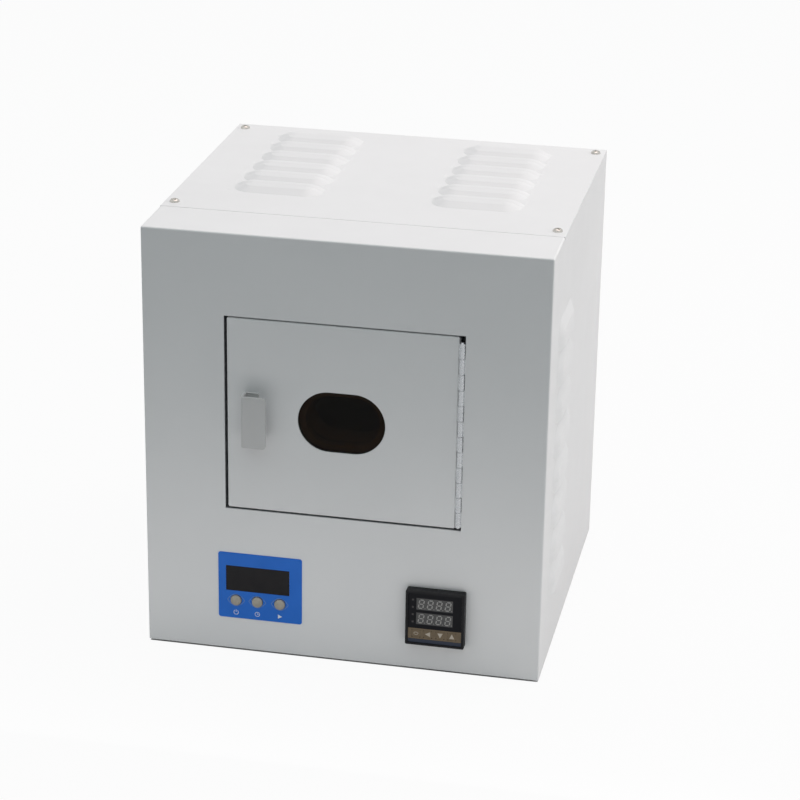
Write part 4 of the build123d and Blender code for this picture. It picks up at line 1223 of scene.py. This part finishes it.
@dataclass
class Controller:
    """The panel controller: bezel, face, windows with unlit digits, key strip and symbols."""

    bezel_edge: float = 0.25 * MM
    key_edge: float = 0.15 * MM
    digits: int = 4
    digit_pitch: float = 7.25 * MM
    digit_tall: float = 7.4 * MM
    digit_wide: float = 3.7 * MM
    segment: float = 0.95 * MM
    slant: float = 0.17
    bar_shares: tuple[float, ...] = (0.10, 0.22, 0.78, 0.90)
    bar_widths: tuple[float, ...] = (0.02, 1.0, 1.0, 0.02)
    dot_gap: float = 0.9 * MM
    dot: float = 0.6 * MM
    symbol: float = 2.1 * MM
    arrow_ends: tuple[float, float] = (-0.45, 0.55)
    arrow_turns: tuple[float, ...] = (180, 270, 90)
    loop: tuple[float, float] = (1.7 * MM, 1.1 * MM)
    loop_line: float = 0.35 * MM
    key_room: float = 0.06 * MM
    indicator_drops: tuple[float, ...] = (8.0 * MM, 14.5 * MM, 21.0 * MM, 27.5 * MM)
    indicator_x: float = 6.0 * MM
    indicator_size: float = 1.6 * MM
    print_thickness: float = 0.03 * MM
    rows: tuple[float, ...] = (11.4 * MM, 24.25 * MM)
    strip: tuple[float, float] = (33.1 * MM, 42.4 * MM)
    foot_strip: tuple[float, float] = (42.5 * MM, 45.7 * MM)
    margin: float = 2.3 * MM

    def dress(self, shop: Workshop) -> None:
        """Give the controller's own nodes their finishes.

        Args:
            shop: Dresses the nodes.
        """
        shop.dress(CONTROLLER_MOULDING, "controller_bezel", edge=self.bezel_edge)
        shop.dress(CONTROLLER_MOULDING, "controller_case", "controller_clamp")
        shop.dress(CONTROLLER_FILM, "controller_face")
        shop.dress(DISPLAY_WINDOW, "controller_windows")
        keys = [body.value for body in KEYS]
        shop.dress(KEY_FILM, *keys, edge=self.key_edge)

    def build(self, shop: Workshop) -> None:
        """Print the digits and the key symbols.

        Args:
            shop: Makes the pieces.
        """
        low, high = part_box("controller_windows")
        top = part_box("controller_bezel")[1].z
        front = low.y - self.print_thickness
        sheets = []
        for row in self.rows:
            for column in range(self.digits):
                x = (low.x + high.x) / 2 + (column - (self.digits - 1) / 2) * self.digit_pitch
                sheets += self.digit(x, top - row, front, low.y)
        shop.piece("unlit_digits", sheets, PRINT_GREY, Body.CASING)
        self.strips(shop, low.y)
        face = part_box("key_set")[0].y
        for body, angle in zip(KEYS[1:], self.arrow_turns):
            arrow = self.arrow(middle(body.value), angle, face)
            shop.piece(f"{body.value}_print", [arrow], PRINT_TAN, body)
        at = middle(Body.KEY_SET.value)
        ring = arc((0, 0), 1.0, 0, 360) * self.loop + [at.x, at.z]
        loop = stroke(ring, even(ring, self.loop_line), face - self.print_thickness, face)
        shop.piece("key_set_print", [loop], PRINT_TAN, Body.KEY_SET)

    def strips(self, shop: Workshop, face: float) -> None:
        """Print the brown strip round the keys, the navy strip below and the indicators.

        Args:
            shop: Makes the pieces.
            face: Y of the controller's face.
        """
        low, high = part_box("controller_bezel")
        keys = [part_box(body.value) for body in KEYS]
        left, right = low.x + self.margin, high.x - self.margin
        top, bottom = high.z - self.strip[0], high.z - self.strip[1]
        key_low = keys[0][0].z - self.key_room
        key_high = keys[0][1].z + self.key_room
        bars = [(left, right, key_high, top), (left, right, bottom, key_low)]
        starts = [left, *(key[1].x + self.key_room for key in keys)]
        ends = [*(key[0].x - self.key_room for key in keys), right]
        bars += [(start, end, key_low, key_high) for start, end in zip(starts, ends)]
        brown = [self.bar(*bar, face) for bar in bars]
        shop.piece("key_strip_print", brown, KEY_FILM, Body.CASING)
        top, bottom = high.z - self.foot_strip[0], high.z - self.foot_strip[1]
        navy = self.bar(left, right, bottom, top, face)
        shop.piece("foot_strip_print", [navy], PRINT_NAVY, Body.CASING)
        spots = []
        for drop in self.indicator_drops:
            x, z, half = low.x + self.indicator_x, high.z - drop, self.indicator_size / 2
            spots.append(self.bar(x - half, x + half, z - half, z + half, face))
        shop.piece("indicator_prints", spots, PRINT_INDICATOR, Body.CASING)

    def bar(self, left: float, right: float, low: float, high: float, face: float) -> Sheet:
        """An upright rectangle printed on the face."""
        path = np.array([[left, (low + high) / 2], [right, (low + high) / 2]])
        return stroke(path, even(path, high - low), face - self.print_thickness, face)

    def digit(self, x: float, z: float, front: float, back: float) -> list[Sheet]:
        """A slanted figure eight of seven bars with pointed ends, and its point.

        Args:
            x: Middle of the digit.
            z: Middle height.
            front: Y of the print's face.
            back: Y of its back.

        Returns:
            The eight prints.
        """
        half_wide, half_tall = self.digit_wide / 2, self.digit_tall / 2
        bars = [((-half_wide, level), (half_wide, level)) for level in (-half_tall, 0.0, half_tall)]
        for side in (-half_wide, half_wide):
            bars += [((side, -half_tall), (side, 0.0)), ((side, 0.0), (side, half_tall))]
        sheets = []
        share = np.array(self.bar_shares)[:, None]
        widths = self.segment * np.array(self.bar_widths)
        for start, end in bars:
            path = np.array(start) + share * (np.array(end) - np.array(start))
            path[:, 0] += self.slant * path[:, 1]
            sheets.append(stroke(path + [x, z], widths, front, back))
        start = half_wide + self.dot_gap
        dot = np.array([[start, -half_tall], [start + self.dot, -half_tall]])
        sheets.append(stroke(dot + [x, z], even(dot, self.dot), front, back))
        return sheets

    def arrow(self, at: Vector, angle: float, face: float) -> Sheet:
        """A triangle that points at an angle.

        Args:
            at: Middle of the key.
            angle: Direction in degrees, 0 for right and 90 for up.
            face: Y of the key's face.

        Returns:
            The print.
        """
        ahead = np.array([np.cos(np.radians(angle)), np.sin(np.radians(angle))])
        path = np.array([at.x, at.z]) + np.outer(self.arrow_ends, ahead) * 2 * self.symbol
        wide = np.array([2 * self.symbol, 0.0])
        return stroke(path, wide, face - self.print_thickness, face)


@dataclass
class Electrics:
    """The relay on its heatsink, the terminals and the mains inlet."""

    edge: float = 0.3 * MM

    def dress(self, shop: Workshop) -> None:
        """Give the electrical nodes their finishes.

        Args:
            shop: Dresses the nodes.
        """
        shop.dress(HEATSINK_METAL, "heatsink")
        shop.dress(RELAY_CASE, "relay", edge=self.edge)
        shop.dress(COMPONENT_BLACK, "terminal_block", "power_inlet", edge=self.edge)
        shop.dress(PRONG_BRASS, "inlet_prongs")
        shop.dress(SCREW_NICKEL, "inlet_screws")


# Studio


@dataclass(frozen=True)
class Lamp:
    """One soft rectangular lamp that no camera sees."""

    name: str
    place: Colour
    aim: Colour
    size: tuple[float, float]
    power: float
    colour: Colour
    mirrored: bool = False

    def hang(self) -> None:
        """Hang the lamp at its place, turned to its aim; only a mirrored one shows in gloss."""
        data = bpy.data.lights.new(self.name, "AREA")
        data.shape = "RECTANGLE"
        data.size, data.size_y = self.size
        data.energy = self.power
        data.color = self.colour
        lamp = bpy.data.objects.new(self.name, data)
        direction = Vector(self.aim) - Vector(self.place)
        lamp.rotation_euler = direction.to_track_quat("-Z", "Y").to_euler()
        lamp.location = self.place
        lamp.visible_camera = False
        lamp.visible_glossy = self.mirrored
        bpy.context.scene.collection.objects.link(lamp)


WARM = (1.0, 0.80, 0.77)
PALE_WARM = (1.0, 0.96, 0.95)
LAMPS = (
    Lamp("overhead", (0.2, 0.5, 2.5), (0.05, 0.1, 0.2), (1.8, 1.8), 20.0, WARM, mirrored=True),
    Lamp("right", (2.4, 0.6, 1.1), (0.1, 0, 0.2), (1.6, 1.6), 31.0, PALE_WARM),
    Lamp("low front", (-0.04, -0.32, 0.045), (-0.04, -0.15, 0.04), (0.8, 0.08), 0.174, PALE_WARM),
)


@dataclass
class Studio:
    """The camera, the pale floor, the white surround and the soft lights."""

    place: Colour = (0.4152, -2.0003, 0.9885)
    yaw: float = 11.28
    pitch: float = 21.76
    roll: float = 0.96
    lens: float = 117.63
    film: float = 36.0
    floor_size: float = 14.0
    floor_grey: float = 0.6
    # Grey of the patch under the object, darker than the floor: painted contact shadow.
    shadow_patch_grey: float = 0.55
    floor_roughness: float = 0.9
    floor_specular: float = 0.1
    patch_inset: float = 5.0 * MM
    patch_lift: float = 0.05 * MM
    horizon: float = 0.0
    zenith: float = 1.25
    shade_tint: Colour = (0.865, 0.971, 1.0)
    whiteness: float = 0.94

    def camera(self) -> None:
        """Place the camera from its yaw, its downward pitch and its roll."""
        yaw, pitch, roll = np.radians([self.yaw, self.pitch, self.roll])
        ahead = Vector((-np.sin(yaw) * np.cos(pitch), np.cos(yaw) * np.cos(pitch), -np.sin(pitch)))
        right = Vector((np.cos(yaw), np.sin(yaw), 0))
        up = right.cross(ahead)
        rolled_right = np.cos(roll) * right + np.sin(roll) * up
        rolled_up = -np.sin(roll) * right + np.cos(roll) * up
        data = bpy.data.cameras.new("camera")
        data.lens = self.lens
        data.sensor_width = self.film
        eye = bpy.data.objects.new("camera", data)
        turned = Matrix((rolled_right, rolled_up, -ahead)).transposed().to_4x4()
        eye.matrix_world = Matrix.Translation(self.place) @ turned
        bpy.context.scene.collection.objects.link(eye)
        bpy.context.scene.camera = eye

    def surround(self) -> None:
        """White where the camera, gloss or glass looks, and a soft sky light elsewhere.

        The sky's strength grows from the horizon to the zenith with the square of the height.
        """
        world = bpy.data.worlds.new("surround")
        bpy.context.scene.world = world
        world.use_nodes = True
        tree = world.node_tree
        background = tree.nodes["Background"]
        path = tree.nodes.new("ShaderNodeLightPath")
        seen = tree.nodes.new("ShaderNodeMath")
        seen.operation = "MAXIMUM"
        looked = tree.nodes.new("ShaderNodeMath")
        looked.operation = "MAXIMUM"
        tree.links.new(path.outputs["Is Camera Ray"], looked.inputs[0])
        tree.links.new(path.outputs["Is Glossy Ray"], looked.inputs[1])
        tree.links.new(looked.outputs[0], seen.inputs[0])
        tree.links.new(path.outputs["Is Transmission Ray"], seen.inputs[1])
        direction = tree.nodes.new("ShaderNodeTexCoord").outputs["Generated"]
        split = tree.nodes.new("ShaderNodeSeparateXYZ")
        tree.links.new(direction, split.inputs[0])
        rise = tree.nodes.new("ShaderNodeMapRange")
        rise.inputs["To Min"].default_value = self.horizon
        rise.inputs["To Max"].default_value = self.zenith
        square = tree.nodes.new("ShaderNodeMath")
        square.operation = "POWER"
        square.use_clamp = True
        square.inputs[1].default_value = 2.0
        tree.links.new(split.outputs["Z"], square.inputs[0])
        tree.links.new(square.outputs[0], rise.inputs["Value"])
        level = tree.nodes.new("ShaderNodeMix")
        level.data_type = "FLOAT"
        level.inputs["B"].default_value = 1.0
        tree.links.new(seen.outputs[0], level.inputs["Factor"])
        tree.links.new(rise.outputs["Result"], level.inputs["A"])
        tree.links.new(level.outputs["Result"], background.inputs["Strength"])
        tint = tree.nodes.new("ShaderNodeMix")
        tint.data_type = "RGBA"
        colours = [socket for socket in tint.inputs if socket.type == "RGBA"]
        colours[0].default_value = (*self.shade_tint, 1)
        colours[1].default_value = (1, 1, 1, 1)
        tree.links.new(seen.outputs[0], tint.inputs[0])
        shown = next(socket for socket in tint.outputs if socket.type == "RGBA")
        tree.links.new(shown, background.inputs["Color"])

    def floor(self) -> None:
        """A pale floor that keeps the object's shadow."""
        half = self.floor_size / 2
        mesh = bpy.data.meshes.new("floor")
        corners = [(-half, -half, 0), (half, -half, 0), (half, half, 0), (-half, half, 0)]
        mesh.from_pydata(corners, [], [(0, 1, 2, 3)])
        ground = bpy.data.objects.new("floor", mesh)
        bpy.context.scene.collection.objects.link(ground)
        material = bpy.data.materials.new("pale floor")
        material.use_nodes = True
        tree = material.node_tree
        shader = tree.nodes["Principled BSDF"]
        shader.inputs["Base Color"].default_value = (*[self.floor_grey] * 3, 1)
        shader.inputs["Roughness"].default_value = self.floor_roughness
        shader.inputs["Specular IOR Level"].default_value = self.floor_specular
        glow = tree.nodes.new("ShaderNodeEmission")
        path = tree.nodes.new("ShaderNodeLightPath")
        share = tree.nodes.new("ShaderNodeMath")
        share.operation = "MULTIPLY"
        share.inputs[1].default_value = self.whiteness
        mix = tree.nodes.new("ShaderNodeMixShader")
        tree.links.new(path.outputs["Is Camera Ray"], share.inputs[0])
        tree.links.new(share.outputs[0], mix.inputs[0])
        tree.links.new(shader.outputs[0], mix.inputs[1])
        tree.links.new(glow.outputs[0], mix.inputs[2])
        tree.links.new(mix.outputs[0], tree.nodes["Material Output"].inputs["Surface"])
        mesh.materials.append(material)
        self.under_floor()

    def under_floor(self) -> None:
        """A darker patch under the object: real shade there plus a painted contact shadow."""
        low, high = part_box("front_shell")
        inset, lift = self.patch_inset, self.patch_lift
        x, front, back = high.x - inset, low.y + inset / 4, high.y - inset
        mesh = bpy.data.meshes.new("under floor")
        corners = [(-x, front, lift), (x, front, lift), (x, back, lift), (-x, back, lift)]
        mesh.from_pydata(corners, [], [(0, 1, 2, 3)])
        patch = bpy.data.objects.new("under floor", mesh)
        bpy.context.scene.collection.objects.link(patch)
        shader = Shader("shaded floor")
        shader.set(Base_Color=(self.shadow_patch_grey,) * 3, Roughness=self.floor_roughness)
        mesh.materials.append(shader.material)

    def build(self) -> None:
        """Set up the whole studio."""
        bpy.context.scene.view_settings.view_transform = "Standard"
        self.camera()
        self.surround()
        self.floor()
        for lamp in LAMPS:
            lamp.hang()


def main() -> None:
    """Load the frame, dress and build each sub-assembly and set up the studio."""
    logging.basicConfig(level=logging.INFO, format="%(message)s")
    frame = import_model()
    shop = Workshop(frame["nodes"])
    casing, chamber, timer, controller = Casing(), Chamber(), Timer(), Controller()
    for assembly in (casing, Door(), chamber, timer, controller, Electrics()):
        assembly.dress(shop)
        LOG.info("finished %s", type(assembly).__name__)
    for assembly in (casing, chamber, timer, controller):
        assembly.build(shop)
    Studio().build()


if __name__ == "__main__":
    main()
